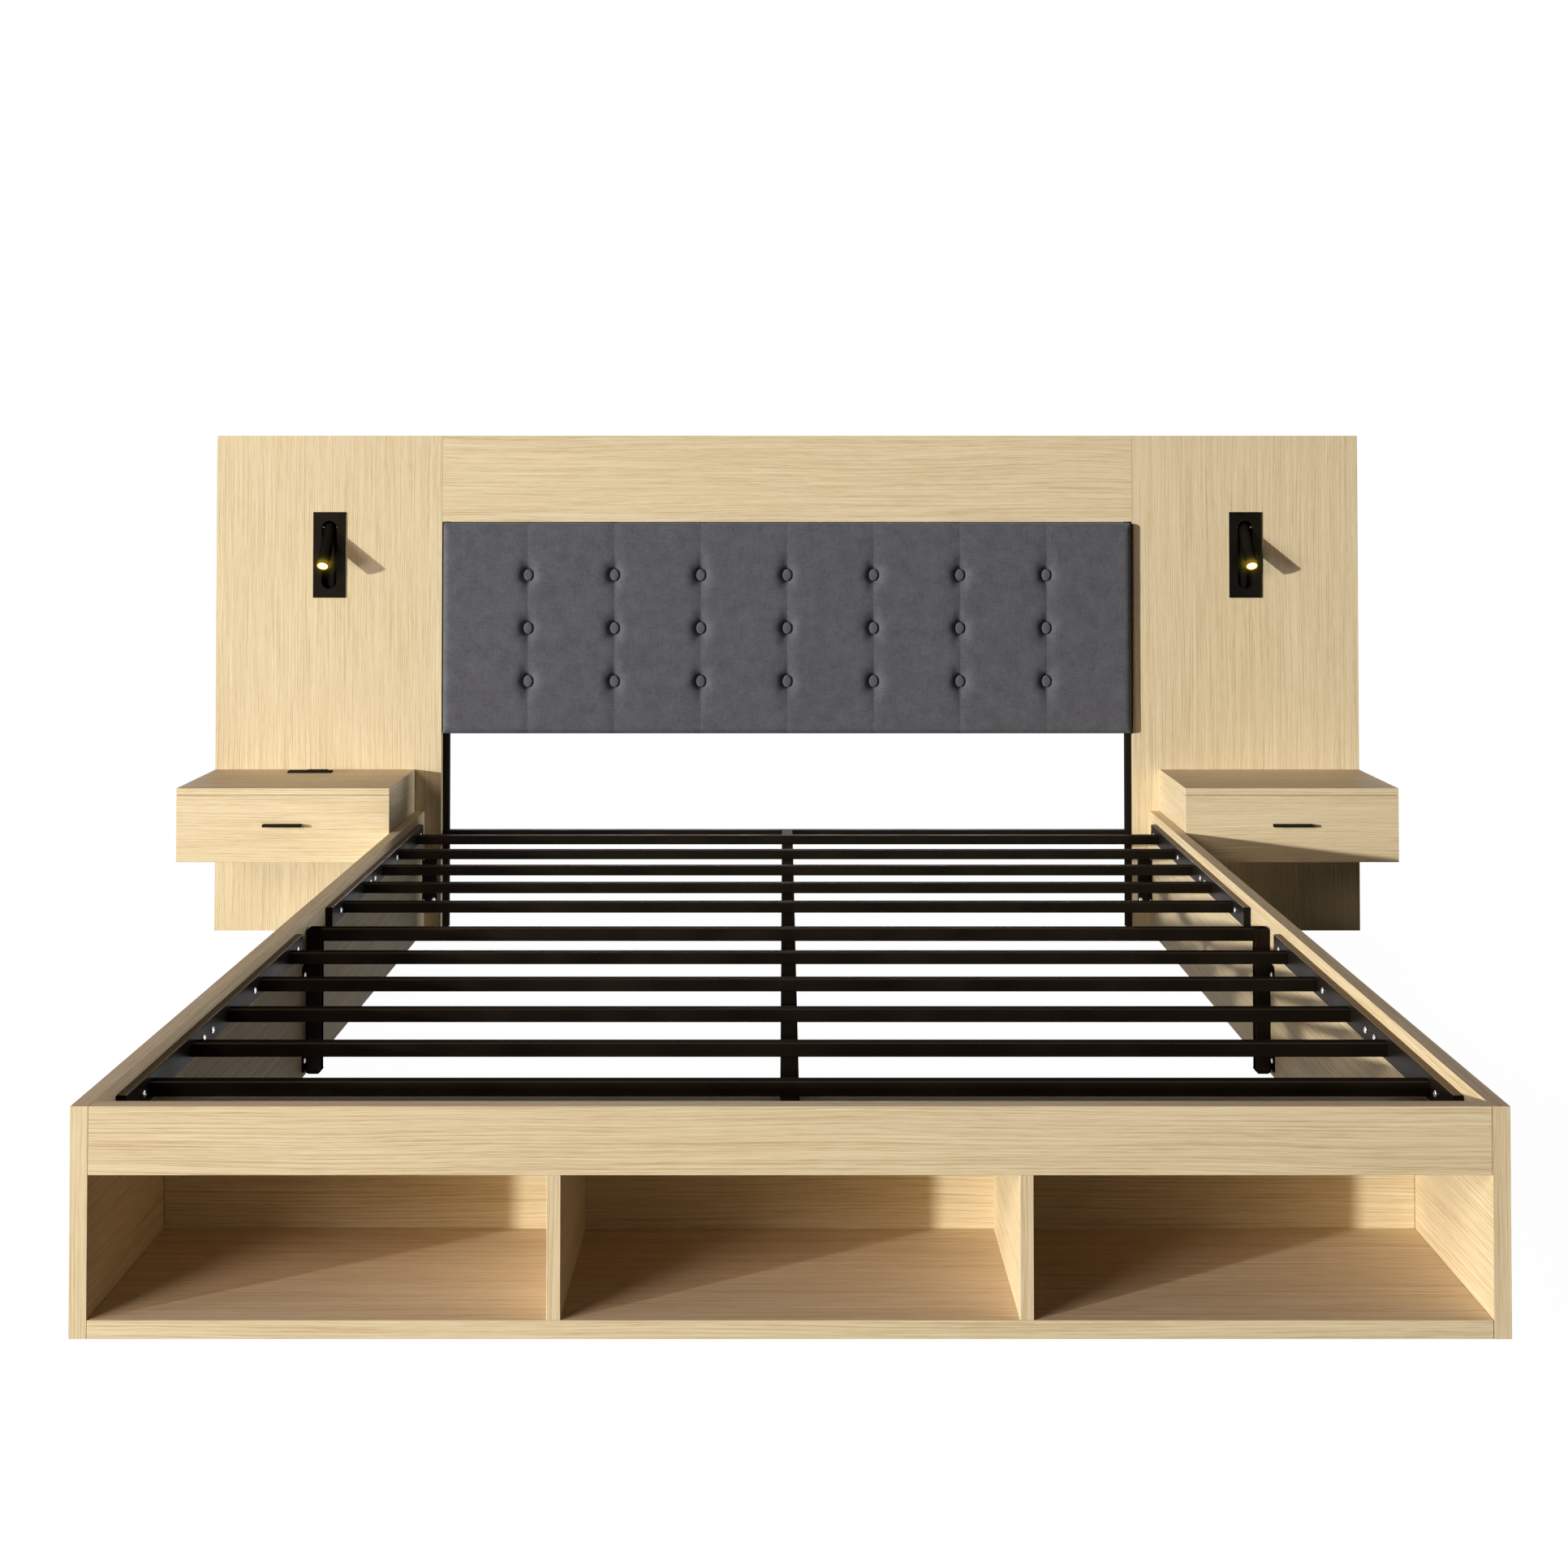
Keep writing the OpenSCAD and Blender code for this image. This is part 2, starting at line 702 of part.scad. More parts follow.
module panel_screws() {
    color(zinc) {
        on_both_sides() {
            at_frame_screws(upright_screw_side_x, upright_screw_side_zs) screw(frame_d + screw_bite);
            at_frame_screws(upright_screw_centre_x, upright_screw_centre_zs) screw(frame_d + screw_bite);
        }
        for (x = cross_screw_xs) {
            at_frame_screws(x, [cross_rail_z0s[2] + head_rail_h / 2]) screw(frame_d + screw_bite);
            for (i = [0, 1])
                at_frame_screws(x, [cross_rail_z0s[i] + head_rail_h / 2]) screw(frame_d + pad_board_t - 2);
        }
    }
}

module nightstand_bolts() {
    color(zinc) on_both_sides() at_stand_bolts() {
        cylinder(d = stand_bolt_head_d, h = 3);
        translate([0, 0, -board_t - stand_back_t]) cylinder(d = stand_bolt_d, h = board_t + stand_back_t);
    }
}

// ---- Nightstands ----

module nightstand_top(side) {
    color(oak) on_side(side) difference() {
        board([stand_inner_x, stand_outer_x], [stand_front_y, head_y], [stand_under_top_z, stand_top_z]);
        if (side < 0)
            translate([stand_mid_x, station_y, stand_under_top_z - 1]) linear_extrude(stand_front_t + 2)
                square([station_w - 6, body_d + 1], center = true);
    }
}

module nightstand_carcass(side) {
    color(oak) on_side(side) {
        for (x = [stand_inner_x, stand_outer_x - stand_wall_t])
            board([x, x + stand_wall_t], [stand_carcass_y, head_y], [stand_z0, stand_under_top_z]);
        board([stand_inner_x + stand_wall_t, stand_outer_x - stand_wall_t], [stand_carcass_y, head_y],
            [stand_z0, stand_z0 + stand_wall_t]);
        difference() {
            board([stand_inner_x + stand_wall_t, stand_outer_x - stand_wall_t],
                [head_y - stand_back_t, head_y], [stand_z0 + stand_wall_t, stand_under_top_z]);
            at_stand_bolts() translate([0, 0, -board_t - stand_back_t - 1])
                cylinder(d = stand_bolt_d + 0.2, h = board_t + stand_back_t + 2);
        }
    }
}

module drawer_front(side) {
    color(oak) on_side(side)
        board([stand_inner_x, stand_outer_x], [stand_front_y, stand_front_y + stand_front_t],
            [stand_z0, drawer_front_top_z]);
}

// Four walls and a base, as separate boards that meet face to face
module drawer_box(side) {
    z = [drawer_z0, drawer_z0 + drawer_h];
    inner = [drawer_x0 + drawer_wall_t, drawer_x1 - drawer_wall_t];
    color(drawer_wood) on_side(side) {
        for (x = [drawer_x0, drawer_x1 - drawer_wall_t])
            board([x, x + drawer_wall_t], [drawer_y0, drawer_y1], z);
        board(inner, [drawer_y0, drawer_y0 + drawer_wall_t], z);
        board(inner, [drawer_y1 - drawer_wall_t, drawer_y1], z);
        board(inner, [drawer_y0 + drawer_wall_t, drawer_y1 - drawer_wall_t],
            [drawer_base_z, drawer_base_z + drawer_base_t]);
    }
}

// Left and right copies of a runner piece, inside one nightstand. The piece
// is drawn with X from the carcass's side towards the drawer.
module at_both_runners() {
    translate([stand_inner_x + stand_wall_t, 0, 0]) children();
    translate([stand_outer_x - stand_wall_t, 0, 0]) mirror([1, 0, 0]) children();
}

// A channel on the carcass's side, open towards the drawer, with a fixed
// roller near its front end
module drawer_tracks(side) {
    color(zinc) on_side(side) at_both_runners() {
        translate([0, track_y0, track_z]) along_y() linear_extrude(track_y1 - track_y0) polygon([
            [0, -track_h / 2], [track_w, -track_h / 2], [track_w, -track_h / 2 + track_t],
            [track_t, -track_h / 2 + track_t], [track_t, track_h / 2 - track_t],
            [track_w, track_h / 2 - track_t], [track_w, track_h / 2], [0, track_h / 2]]);
        translate([track_t, stop_y, track_z]) rotate([0, 90, 0]) {
            cylinder(r = 2.5, h = roller_x0 - track_t);
            translate([0, 0, roller_x0 - track_t]) cylinder(r = stop_r, h = roller_w);
        }
    }
}

// A plate on the drawer's side with a flange that rolls on the fixed roller,
// and a wheel at the back that rolls inside the channel
module drawer_runners(side) {
    plate = [drawer_side_gap - track_t, drawer_side_gap];
    color(zinc) on_side(side) at_both_runners() {
        board(plate, [drawer_y0 + 2, drawer_y1 - 2], [track_z - 6, runner_flange_z + track_t]);
        board([roller_x0, plate[0]], [drawer_y0 + 2, wheel_y - wheel_r - 2],
            [runner_flange_z, runner_flange_z + track_t]);
        translate([roller_x0, wheel_y, track_z]) rotate([0, 90, 0]) {
            cylinder(r = wheel_r, h = roller_w);
            translate([0, 0, roller_w]) cylinder(r = 3, h = plate[0] - roller_x0 - roller_w);
        }
    }
}

// Solid flat bar with square ends that stands out of the drawer's front
module drawer_handle(side) {
    color(plastic_black) on_side(side)
        board([stand_mid_x - handle_l / 2, stand_mid_x + handle_l / 2], [stand_front_y - handle_out, stand_front_y],
            [handle_z - handle_h / 2, handle_z + handle_h / 2]);
}

// ---- Charging station ----

module charging_plate() {
    color(lamp_black) difference() {
        translate([station_x, station_y, stand_top_z]) linear_extrude(station_t)
            rounded_rect(station_w, station_d, station_corner);
        translate([station_x + socket_dx, station_y, stand_top_z - 1]) linear_extrude(station_t + 2)
            square([socket_w + 0.4, socket_d + 0.4], center = true);
    }
}

// Raised block with two charging ports, on a body that hangs in the top board
module charging_sockets() {
    color(plastic_black) translate([station_x, station_y, 0]) difference() {
        union() {
            translate([socket_dx, 0, stand_top_z - 1]) linear_extrude(socket_rise + 1)
                square([socket_w, socket_d], center = true);
            translate([0, 0, stand_top_z - body_h]) linear_extrude(body_h)
                square([station_w - 8, body_d], center = true);
        }
        for (x = [-9, 9]) translate([socket_dx + x, 0, stand_top_z + socket_rise - 5]) linear_extrude(6)
            square([13, 5.5], center = true);
    }
}

// ---- Reading lamps ----

module lamp_plate(side) {
    color(lamp_black) on_side(side) difference() {
        board([lamp_x - lamp_plate_w / 2, lamp_x + lamp_plate_w / 2],
            [head_y - lamp_plate_t, head_y], [lamp_z - lamp_plate_h / 2, lamp_z + lamp_plate_h / 2]);
        translate([lamp_x, head_y - lamp_plate_t - 1, lamp_z]) along_y()
            linear_extrude(lamp_plate_t + 2) stadium(slot_w, slot_h);
    }
}

// Upright trough from the plane y0: round at both ends, and half round at its
// bottom, behind the pivot's depth
module lamp_trough(r, y0) {
    h = slot_h - slot_w + 2 * r;
    intersection() {
        translate([lamp_x, y0, lamp_z]) along_y() linear_extrude(pivot_y + r + 1 - y0) stadium(2 * r, h);
        translate([lamp_x, 0, lamp_z - h]) linear_extrude(2 * h) {
            translate([-r, y0 - 1]) square([2 * r, pivot_y - y0 + 1]);
            translate([0, pivot_y]) circle(r);
        }
    }
}

// Shell behind the plate that takes the folded head, open at the board's face
module lamp_recess(side) {
    color(plastic_black) on_side(side) difference() {
        lamp_trough(slot_w / 2 + recess_wall, head_y);
        lamp_trough(slot_w / 2, head_y - 1);
        board([lamp_x - slot_w, lamp_x + slot_w], [head_y - slot_w, head_y], [lamp_z - slot_h, lamp_z + slot_h]);
        lamp_pin_shape(pin_r + pin_gap, slot_w / 2 + recess_wall + 1);
    }
}

// A pin along X at the pivot, half_l to each side of the lamp's middle
module lamp_pin_shape(r, half_l) {
    translate([lamp_x - half_l, pivot_y, pivot_z]) rotate([0, 90, 0]) cylinder(r = r, h = 2 * half_l);
}

module lamp_pins() {
    color(zinc) on_both_sides() lamp_pin_shape(pin_r, slot_w / 2 + recess_wall);
}

// Places a lamp drawn along -Z from its pivot, tilted out of the recess
module at_lamp(side) {
    on_side(side) translate([lamp_x, pivot_y, pivot_z]) rotate([-lamp_tilt, 0, 0]) children();
}

// Closed round end at the pivot, open end with a seat for the lens
module lamp_head(side) {
    color(lamp_black) at_lamp(side) difference() {
        union() {
            sphere(d = lamp_d);
            translate([0, 0, -lamp_reach]) cylinder(d = lamp_d, h = lamp_reach);
        }
        translate([0, 0, -lamp_reach + lens_in + lens_t])
            cylinder(r = head_bore_r - 1, h = lamp_reach - lens_in - lens_t - boss_reach);
        translate([0, 0, -lamp_reach - 1]) cylinder(r = head_bore_r, h = 1 + lens_in + lens_t);
        translate([-lamp_d / 2 - 1, 0, 0]) rotate([0, 90, 0]) cylinder(r = pin_r + pin_gap, h = lamp_d + 2);
    }
}

module lamp_lens(side) {
    color(glow) at_lamp(side) translate([0, 0, -lamp_reach + lens_in])
        cylinder(r = head_bore_r - 0.1, h = lens_t);
}

// ---- The nodes ----

side_panel(-1);  // side_panel_left
side_panel(1);  // side_panel_right
footboard_rail();
storage_bottom();
storage_top();
storage_back();
storage_dividers();
headboard_side(-1);  // headboard_side_left
headboard_side(1);  // headboard_side_right
headboard_centre_panel();
padded_panel();
padded_panel_board();
tuft_buttons();
upright(-1);  // upright_left
upright(1);  // upright_right
head_cross_rail();
hidden_cross_rails();
slat_rail(-1, rail_starts[0]);  // slat_rail_front_left
slat_rail(1, rail_starts[0]);  // slat_rail_front_right
slat_rail(-1, rail_starts[1]);  // slat_rail_back_left
slat_rail(1, rail_starts[1]);  // slat_rail_back_right
slats(rail_starts[0]);  // front_slats
slats(rail_starts[1]);  // back_slats
middle_cross_tube();
middle_leg(-1);  // middle_leg_left
middle_leg(1);  // middle_leg_right
centre_beam();
centre_leg();
leg_feet();
tube_plugs();
corner_brackets();
rail_screws();
bracket_screws();
panel_screws();
nightstand_bolts();
nightstand_top(-1);  // nightstand_top_left
nightstand_top(1);  // nightstand_top_right
nightstand_carcass(-1);  // nightstand_carcass_left
nightstand_carcass(1);  // nightstand_carcass_right
drawer_tracks(-1);  // drawer_tracks_left
drawer_tracks(1);  // drawer_tracks_right
drawer_front(-1);  // drawer_front_left
drawer_front(1);  // drawer_front_right
drawer_box(-1);  // drawer_box_left
drawer_box(1);  // drawer_box_right
drawer_runners(-1);  // drawer_runners_left
drawer_runners(1);  // drawer_runners_right
drawer_handle(-1);  // drawer_handle_left
drawer_handle(1);  // drawer_handle_right
charging_plate();
charging_sockets();
lamp_plate(-1);  // lamp_plate_left
lamp_plate(1);  // lamp_plate_right
lamp_recess(-1);  // lamp_recess_left
lamp_recess(1);  // lamp_recess_right
lamp_head(-1);  // lamp_head_left
lamp_head(1);  // lamp_head_right
lamp_lens(-1);  // lamp_lens_left
lamp_lens(1);  // lamp_lens_right
lamp_pins();
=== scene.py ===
"""Looks of a platform bed with two floating nightstands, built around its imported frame.

Metres, in the frame of the CAD: +X to the right of someone at the foot, +Y from foot
to head, +Z up, with the origin on the floor at the middle of the bed's outer box.
"""

import math

import bmesh
import bpy
from mathutils import Matrix, Vector, noise


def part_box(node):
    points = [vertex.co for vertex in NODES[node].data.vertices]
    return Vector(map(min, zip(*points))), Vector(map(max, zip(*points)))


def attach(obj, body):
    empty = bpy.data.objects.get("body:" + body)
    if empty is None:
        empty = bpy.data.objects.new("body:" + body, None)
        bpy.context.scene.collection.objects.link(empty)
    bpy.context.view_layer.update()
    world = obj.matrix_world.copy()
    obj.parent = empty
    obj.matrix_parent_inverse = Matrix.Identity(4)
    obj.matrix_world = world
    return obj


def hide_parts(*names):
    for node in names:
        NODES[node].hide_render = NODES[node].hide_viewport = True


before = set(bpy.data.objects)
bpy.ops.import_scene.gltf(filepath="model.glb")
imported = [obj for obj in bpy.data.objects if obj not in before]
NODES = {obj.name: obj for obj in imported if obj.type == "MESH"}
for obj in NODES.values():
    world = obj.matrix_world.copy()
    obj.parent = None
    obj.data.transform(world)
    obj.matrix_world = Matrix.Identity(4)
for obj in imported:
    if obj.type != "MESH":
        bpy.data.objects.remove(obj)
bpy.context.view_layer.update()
MM = 0.001
# Digits of a metre that tell two levels or sizes apart
LEVEL_DIGITS = 5

# The photograph's frame and the camera that fits its vanishing lines
PHOTO_PX = 1932
FOCAL_PX = 2403.9
PRINCIPAL_ROW_PX = 558.4
SENSOR_MM = 36.0
CAMERA_PLACE = (-0.007, -3.2798, 0.9519)
CAMERA_PITCH_DEG = 1.249
FARTHEST_SEEN = 60.0

# Light: a hard low key and two soft boxes from the left front, a fill from behind that the
# headboard keeps off what the photograph shows, and a low fill from the right that the side
# panel and the nightstand keep off it. A level is what a white face turned to the light shows.
# Direction, spread in degrees and level of each sun
SUNS = {
    "key": ((1.62, 1.0, -0.2), 1.5, (1.000, 0.965, 0.860)),
    "back_fill": ((0.0, -1.0, -0.12), 20.0, (0.60, 0.60, 0.61)),
    "right_fill": ((-1.0, -0.06, -0.012), 4.0, (0.42, 0.42, 0.43)),
}
# Place, aim, size and level of each lamp
BOXES = {
    "front_box": ((-2.9, -3.7, 2.0), (0.0, 0.2, 0.3), 1.6, (0.260, 0.210, 0.170)),
    "side_box": ((-4.2, -2.0, 0.6), (0.0, 0.3, 0.5), 1.0, (0.265, 0.268, 0.262)),
}
AMBIENT_LEVEL = 0.018
WHITE = (1.0, 1.0, 1.0, 1.0)

# The floor: half its width, its drop below the feet, its colour and how bright it is seen
FLOOR_REACH = 30.0
FLOOR_DROP = 0.2 * MM
FLOOR_GREY = 0.12
FLOOR_SHOWN = 0.98


# ---- Node helper ----

# Places of the first value, the second value and the result on a Mix node
MIX_SOCKETS = {"VECTOR": (4, 5, 1), "RGBA": (6, 7, 2)}
# Nearly all of a noise lies between low and high
NOISE_LOW = 0.3
NOISE_MIDDLE = 0.5
NOISE_HIGH = 0.7
# A face looks along an axis where that part of its normal is over this
FACE_ON = 0.7


class Graph:
    """Builds a node tree from short calls. A value is a number, a tuple or a socket."""

    def __init__(self, tree):
        self.tree = tree
        self.nodes = tree.nodes

    def put(self, socket, value):
        if isinstance(value, bpy.types.NodeSocket):
            self.tree.links.new(value, socket)
        else:
            socket.default_value = value

    def fill(self, made, values):
        """Puts values on a node's first sockets, in their order."""
        for socket, value in zip(made.inputs, values):
            self.put(socket, value)
        return made.outputs[0]

    def add(self, kind, settings=(), **inputs):
        made = self.nodes.new(kind)
        for key, value in dict(settings).items():
            setattr(made, key, value)
        for key, value in inputs.items():
            self.put(made.inputs[key.replace("_", " ")], value)
        return made

    def math(self, operation, *values, clamp=False):
        made = self.add("ShaderNodeMath", {"operation": operation, "use_clamp": clamp})
        return self.fill(made, values)

    def vector(self, operation, *values):
        return self.fill(self.add("ShaderNodeVectorMath", {"operation": operation}), values)

    def split(self, vector):
        return self.add("ShaderNodeSeparateXYZ", Vector=vector).outputs

    def join(self, x, y, z):
        return self.add("ShaderNodeCombineXYZ", X=x, Y=y, Z=z).outputs[0]

    def mix(self, kind, factor, if_low, if_high, blend="MIX"):
        """If_low where the factor is 0, with if_high blended in where it is 1."""
        first, second, result = MIX_SOCKETS[kind]
        made = self.add("ShaderNodeMix", {"data_type": kind, "blend_type": blend})
        self.put(made.inputs["Factor"], factor)
        self.put(made.inputs[first], if_low)
        self.put(made.inputs[second], if_high)
        return made.outputs[result]

    def noise(self, place, scales, detail=2.0, roughness=0.5):
        """Noise with one scale, or with one for each axis, in waves to the metre."""
        each = scales if isinstance(scales, tuple) else (scales,) * 3
        scaled = self.vector("MULTIPLY", place, each)
        made = self.add("ShaderNodeTexNoise", Vector=scaled, Scale=1.0, Detail=detail, Roughness=roughness)
        return made.outputs[0]

    def ramp(self, factor, stops):
        """Colours at places along 0 to 1."""
        made = self.add("ShaderNodeValToRGB", Fac=factor)
        line = made.color_ramp.elements
        while len(line) < len(stops):
            line.new(0.5)
        for stop, (place, colour) in zip(line, stops):
            stop.position = place
            stop.color = (*colour, 1.0)
        return made.outputs[0]

    def tones(self, value, dark, light):
        """Dark to light over the range that a noise fills."""
        return self.ramp(value, ((NOISE_LOW, dark), (NOISE_HIGH, light)))

    def spread(self, value, low, high, to_low=0.0, to_high=1.0):
        made = self.add("ShaderNodeMapRange", {"clamp": True})
        return self.fill(made, (value, low, high, to_low, to_high))

    def bump(self, height, distance, strength):
        return self.add("ShaderNodeBump", Height=height, Distance=distance, Strength=strength).outputs[0]


def new_material(name):
    material = bpy.data.materials.new(name)
    material.use_nodes = True
    graph = Graph(material.node_tree)
    graph.nodes.clear()
    return material, graph


def finish_material(graph, **inputs):
    shader = graph.add("ShaderNodeBsdfPrincipled", **inputs)
    graph.add("ShaderNodeOutputMaterial", Surface=shader.outputs[0])


def object_place(graph):
    return graph.add("ShaderNodeTexCoord").outputs["Object"]


def object_normal(graph):
    return graph.add("ShaderNodeTexCoord").outputs["Normal"]


def shade(colour, share):
    return tuple(share * part for part in colour)


# ---- Oak boards ----

OAK_DARK = (0.620, 0.480, 0.285)
OAK_MID = (0.800, 0.674, 0.455)
OAK_LIGHT = (0.915, 0.800, 0.590)
# Painted shade: colours that darken the faces that look along X and Z, as where the light falls less on
# them
SIDE_PAINTED_SHADE = (0.88, 0.86, 0.84, 1.0)
FLAT_PAINTED_SHADE = (0.91, 0.87, 0.91, 1.0)
OAK_SPECULAR = 0.045
# Roughness of dark and light fibres, the tones they lie between, and the fibres' height
OAK_ROUGHNESS = (0.56, 0.44)
OAK_TONES = (0.35, 0.65)
OAK_RELIEF = 0.12 * MM
OAK_RELIEF_SHARE = 0.5
# Scales of the noises along, across and into the grain
SLOW_SCALE = (1.7, 7.0, 7.0)
QUICK_SCALE = (13.0, 30.0, 30.0)
STRAY_SCALE = (1.6, 60.0, 60.0)
RING_FADE_SCALE = (6.0, 70.0, 70.0)
LINE_SCALE = (3.6, 520.0, 520.0)
DASH_SCALE = (30.0, 900.0, 900.0)
CLOUD_SCALE = (1.2, 9.0, 9.0)
# How far the fibres sway across the board, slowly and quickly
SLOW_SWAY = 22 * MM
QUICK_SWAY = 1.4 * MM
# The rings' spacing, how far they stray in radians, how narrow they are, and where they fade
RING_GAP = 4.6 * MM
RING_STRAY = 9.0
RING_POWER = 3.0
RING_FADE = (0.35, 0.65)
# Share of each in the tone, and what is taken off to centre it
LINE_SHARE = 1.02
RING_SHARE = 0.12
DASH_SHARE = 0.40
CLOUD_SHARE = 0.12
TONE_OFFSET = 0.236
# What each board's decor is shifted by from the last board's
BOARD_SHIFT = (0.731, 0.417, 0.283)
# Axis that the grain runs along, on faces that look along X, Y and Z
BOARD_GRAIN = {
    "side_panel_left": "yzy",
    "side_panel_right": "yzy",
    "footboard_rail": "zxx",
    "storage_bottom": "yxx",
    "storage_top": "yxx",
    "storage_back": "zxx",
    "storage_dividers": "yzy",
    "headboard_side_left": "zzx",
    "headboard_side_right": "zzx",
    "headboard_centre_panel": "zxx",
    "nightstand_top_left": "yxx",
    "nightstand_top_right": "yxx",
    "nightstand_carcass_left": "yxx",
    "nightstand_carcass_right": "yxx",
    "drawer_front_left": "zxx",
    "drawer_front_right": "zxx",
}


def oak_grain():
    """Group that turns a place along, across and into the grain into the decor."""
    tree = bpy.data.node_groups.new("oak_grain", "ShaderNodeTree")
    tree.interface.new_socket("Place", in_out="INPUT", socket_type="NodeSocketVector")
    for name, kind in (("Colour", "Color"), ("Roughness", "Float"), ("Relief", "Float")):
        tree.interface.new_socket(name, in_out="OUTPUT", socket_type="NodeSocket" + kind)
    g = Graph(tree)
    place = g.add("NodeGroupInput").outputs[0]
    along, across, into = g.split(place)
    slow_wave = g.math("SUBTRACT", g.noise(place, SLOW_SCALE, detail=1.0), NOISE_MIDDLE)
    quick_wave = g.math("SUBTRACT", g.noise(place, QUICK_SCALE), NOISE_MIDDLE)
    waved = g.math("ADD", across, g.math("MULTIPLY", slow_wave, SLOW_SWAY))
    waved = g.math("ADD", waved, g.math("MULTIPLY", quick_wave, QUICK_SWAY))
    fibres = g.join(along, waved, into)
    stray = g.math("MULTIPLY", g.noise(fibres, STRAY_SCALE), RING_STRAY)
    turn = g.math("ADD", g.math("MULTIPLY", waved, 2 * math.pi / RING_GAP), stray)
    ring = g.math("POWER", g.spread(g.math("SINE", turn), -1.0, 1.0), RING_POWER)
    fade = g.spread(g.noise(fibres, RING_FADE_SCALE, detail=1.0), *RING_FADE)
    ring = g.math("MULTIPLY", ring, fade)
    lines = g.noise(fibres, LINE_SCALE, detail=4.0, roughness=0.7)
    dashes = g.noise(fibres, DASH_SCALE)
    clouds = g.noise(place, CLOUD_SCALE)
    tone = g.math("SUBTRACT", g.math("MULTIPLY", lines, LINE_SHARE), g.math("MULTIPLY", ring, RING_SHARE))
    tone = g.math("ADD", tone, g.math("MULTIPLY", dashes, DASH_SHARE))
    tone = g.math("ADD", tone, g.math("MULTIPLY", clouds, CLOUD_SHARE))
    tone = g.math("SUBTRACT", tone, TONE_OFFSET)
    colour = g.ramp(tone, ((NOISE_LOW, OAK_DARK), (NOISE_MIDDLE, OAK_MID), (NOISE_HIGH, OAK_LIGHT)))
    roughness = g.spread(tone, *OAK_TONES, *OAK_ROUGHNESS)
    g.add("NodeGroupOutput", Colour=colour, Roughness=roughness, Relief=g.math("ADD", lines, dashes))
    return tree


def oak(name, grain, shift, group):
    """Oak decor whose grain follows the board's own faces."""
    material, g = new_material(name)
    axes = dict(zip("xyz", g.split(g.vector("ADD", object_place(g), shift))))
    facing = g.split(g.vector("ABSOLUTE", object_normal(g)))
    looks_along = {axis: g.math("GREATER_THAN", part, FACE_ON) for axis, part in zip("xyz", facing)}
    runs = {}
    for face, along in zip("xyz", grain):
        across = next(a for a in "xyz" if a not in (face, along))
        runs[face] = g.join(axes[along], axes[across], axes[face])
    in_grain = g.mix("VECTOR", looks_along["y"], runs["z"], runs["y"])
    in_grain = g.mix("VECTOR", looks_along["x"], in_grain, runs["x"])
    decor = g.add("ShaderNodeGroup", {"node_tree": group}, Place=in_grain)
    colour = decor.outputs["Colour"]
    # Painted shade: the faces that look along X and Z are darkened
    for axis, painted_shade in (("x", SIDE_PAINTED_SHADE), ("z", FLAT_PAINTED_SHADE)):
        colour = g.mix("RGBA", looks_along[axis], colour, painted_shade, "MULTIPLY")
    finish_material(
        g,
        Base_Color=colour,
        Roughness=decor.outputs["Roughness"],
        Normal=g.bump(decor.outputs["Relief"], OAK_RELIEF, OAK_RELIEF_SHARE),
        Specular_IOR_Level=OAK_SPECULAR,
    )
    return material


def plain_board(name, dark, light, specks):
    """Board for drawers and backs: short specks instead of a long grain."""
    material, g = new_material(name)
    tone = g.noise(object_place(g), specks, detail=3.0, roughness=0.6)
    finish_material(
        g,
        Base_Color=g.tones(tone, dark, light),
        Roughness=0.6,
        Specular_IOR_Level=0.25,
        Normal=g.bump(tone, distance=0.2 * MM, strength=0.4),
    )
    return material


# ---- Metals and plastics ----

STEEL = (0.0150, 0.0112, 0.0082)
PLASTIC = (0.014, 0.012, 0.010)
HANDLE_BLACK = (0.018, 0.014, 0.011)
CHARGER_BLACK = (0.022, 0.019, 0.017)
LAMP_BLACK = (0.011, 0.0092, 0.0070)
RECESS_BLACK = (0.008, 0.007, 0.006)
BRIGHT_ZINC = (0.93, 0.93, 0.94)
DULL_ZINC = (0.62, 0.62, 0.64)
# A finish lies between these shares of its colour
DARKER = 0.8
LIGHTER = 1.25
# Scale of the worn patches and of the zinc's crystals, and what they add to the roughness
WEAR_SCALE = 9.0
WEAR_SWING = (-0.06, 0.08)
SPANGLE_SCALE = 420.0
SPANGLE_SWING = (-0.07, 0.08)
# Height of a coat's peel and how much of it shows
PEEL_RELIEF = 0.06 * MM
PEEL_RELIEF_SHARE = 0.5

# Brightness of the lens's middle, and how steeply it falls towards the rim
LENS_R = 11.4 * MM
LENS_LEVEL = 55.0
LENS_FADE = 1.5
LENS_GRAIN_SCALE = 900.0
LENS_ROUGHNESS = (0.3, 0.4)
# White hot in the middle, yellow round it and amber at the rim, by distance in lens radii
LENS_HUES = (
    (0.0, (1.0, 0.93, 0.70)),
    (0.45, (1.0, 0.82, 0.36)),
    (0.75, (1.0, 0.62, 0.12)),
    (1.0, (0.95, 0.50, 0.06)),
)
# From where and how far the lens's light is painted as a glow on the lacquer round it, in lens radii
GLOW_START = 0.95
GLOW_REACH = 3.2
# On what lies behind the head the painted glow is centred this much further out, where the lens shows
GLOW_SHIFT = 13 * MM
# Hues from the end of that reach to the lens
GLOW_HUES = ((0.0, (0.80, 0.90, 0.0)), (0.75, (0.95, 0.80, 0.02)), (0.97, (1.0, 0.50, 0.04)))
# Strength and falloff of the painted glow close to the lens, and further off
NEAR_GLOW = {"head": 0.7, "behind": 0.1}
NEAR_GLOW_POWER = 14.0
FAR_GLOW = 0.035
FAR_GLOW_POWER = 2.5
# Faces turned to the back by more than this have none
GLOW_TURNED_AWAY = 0.3


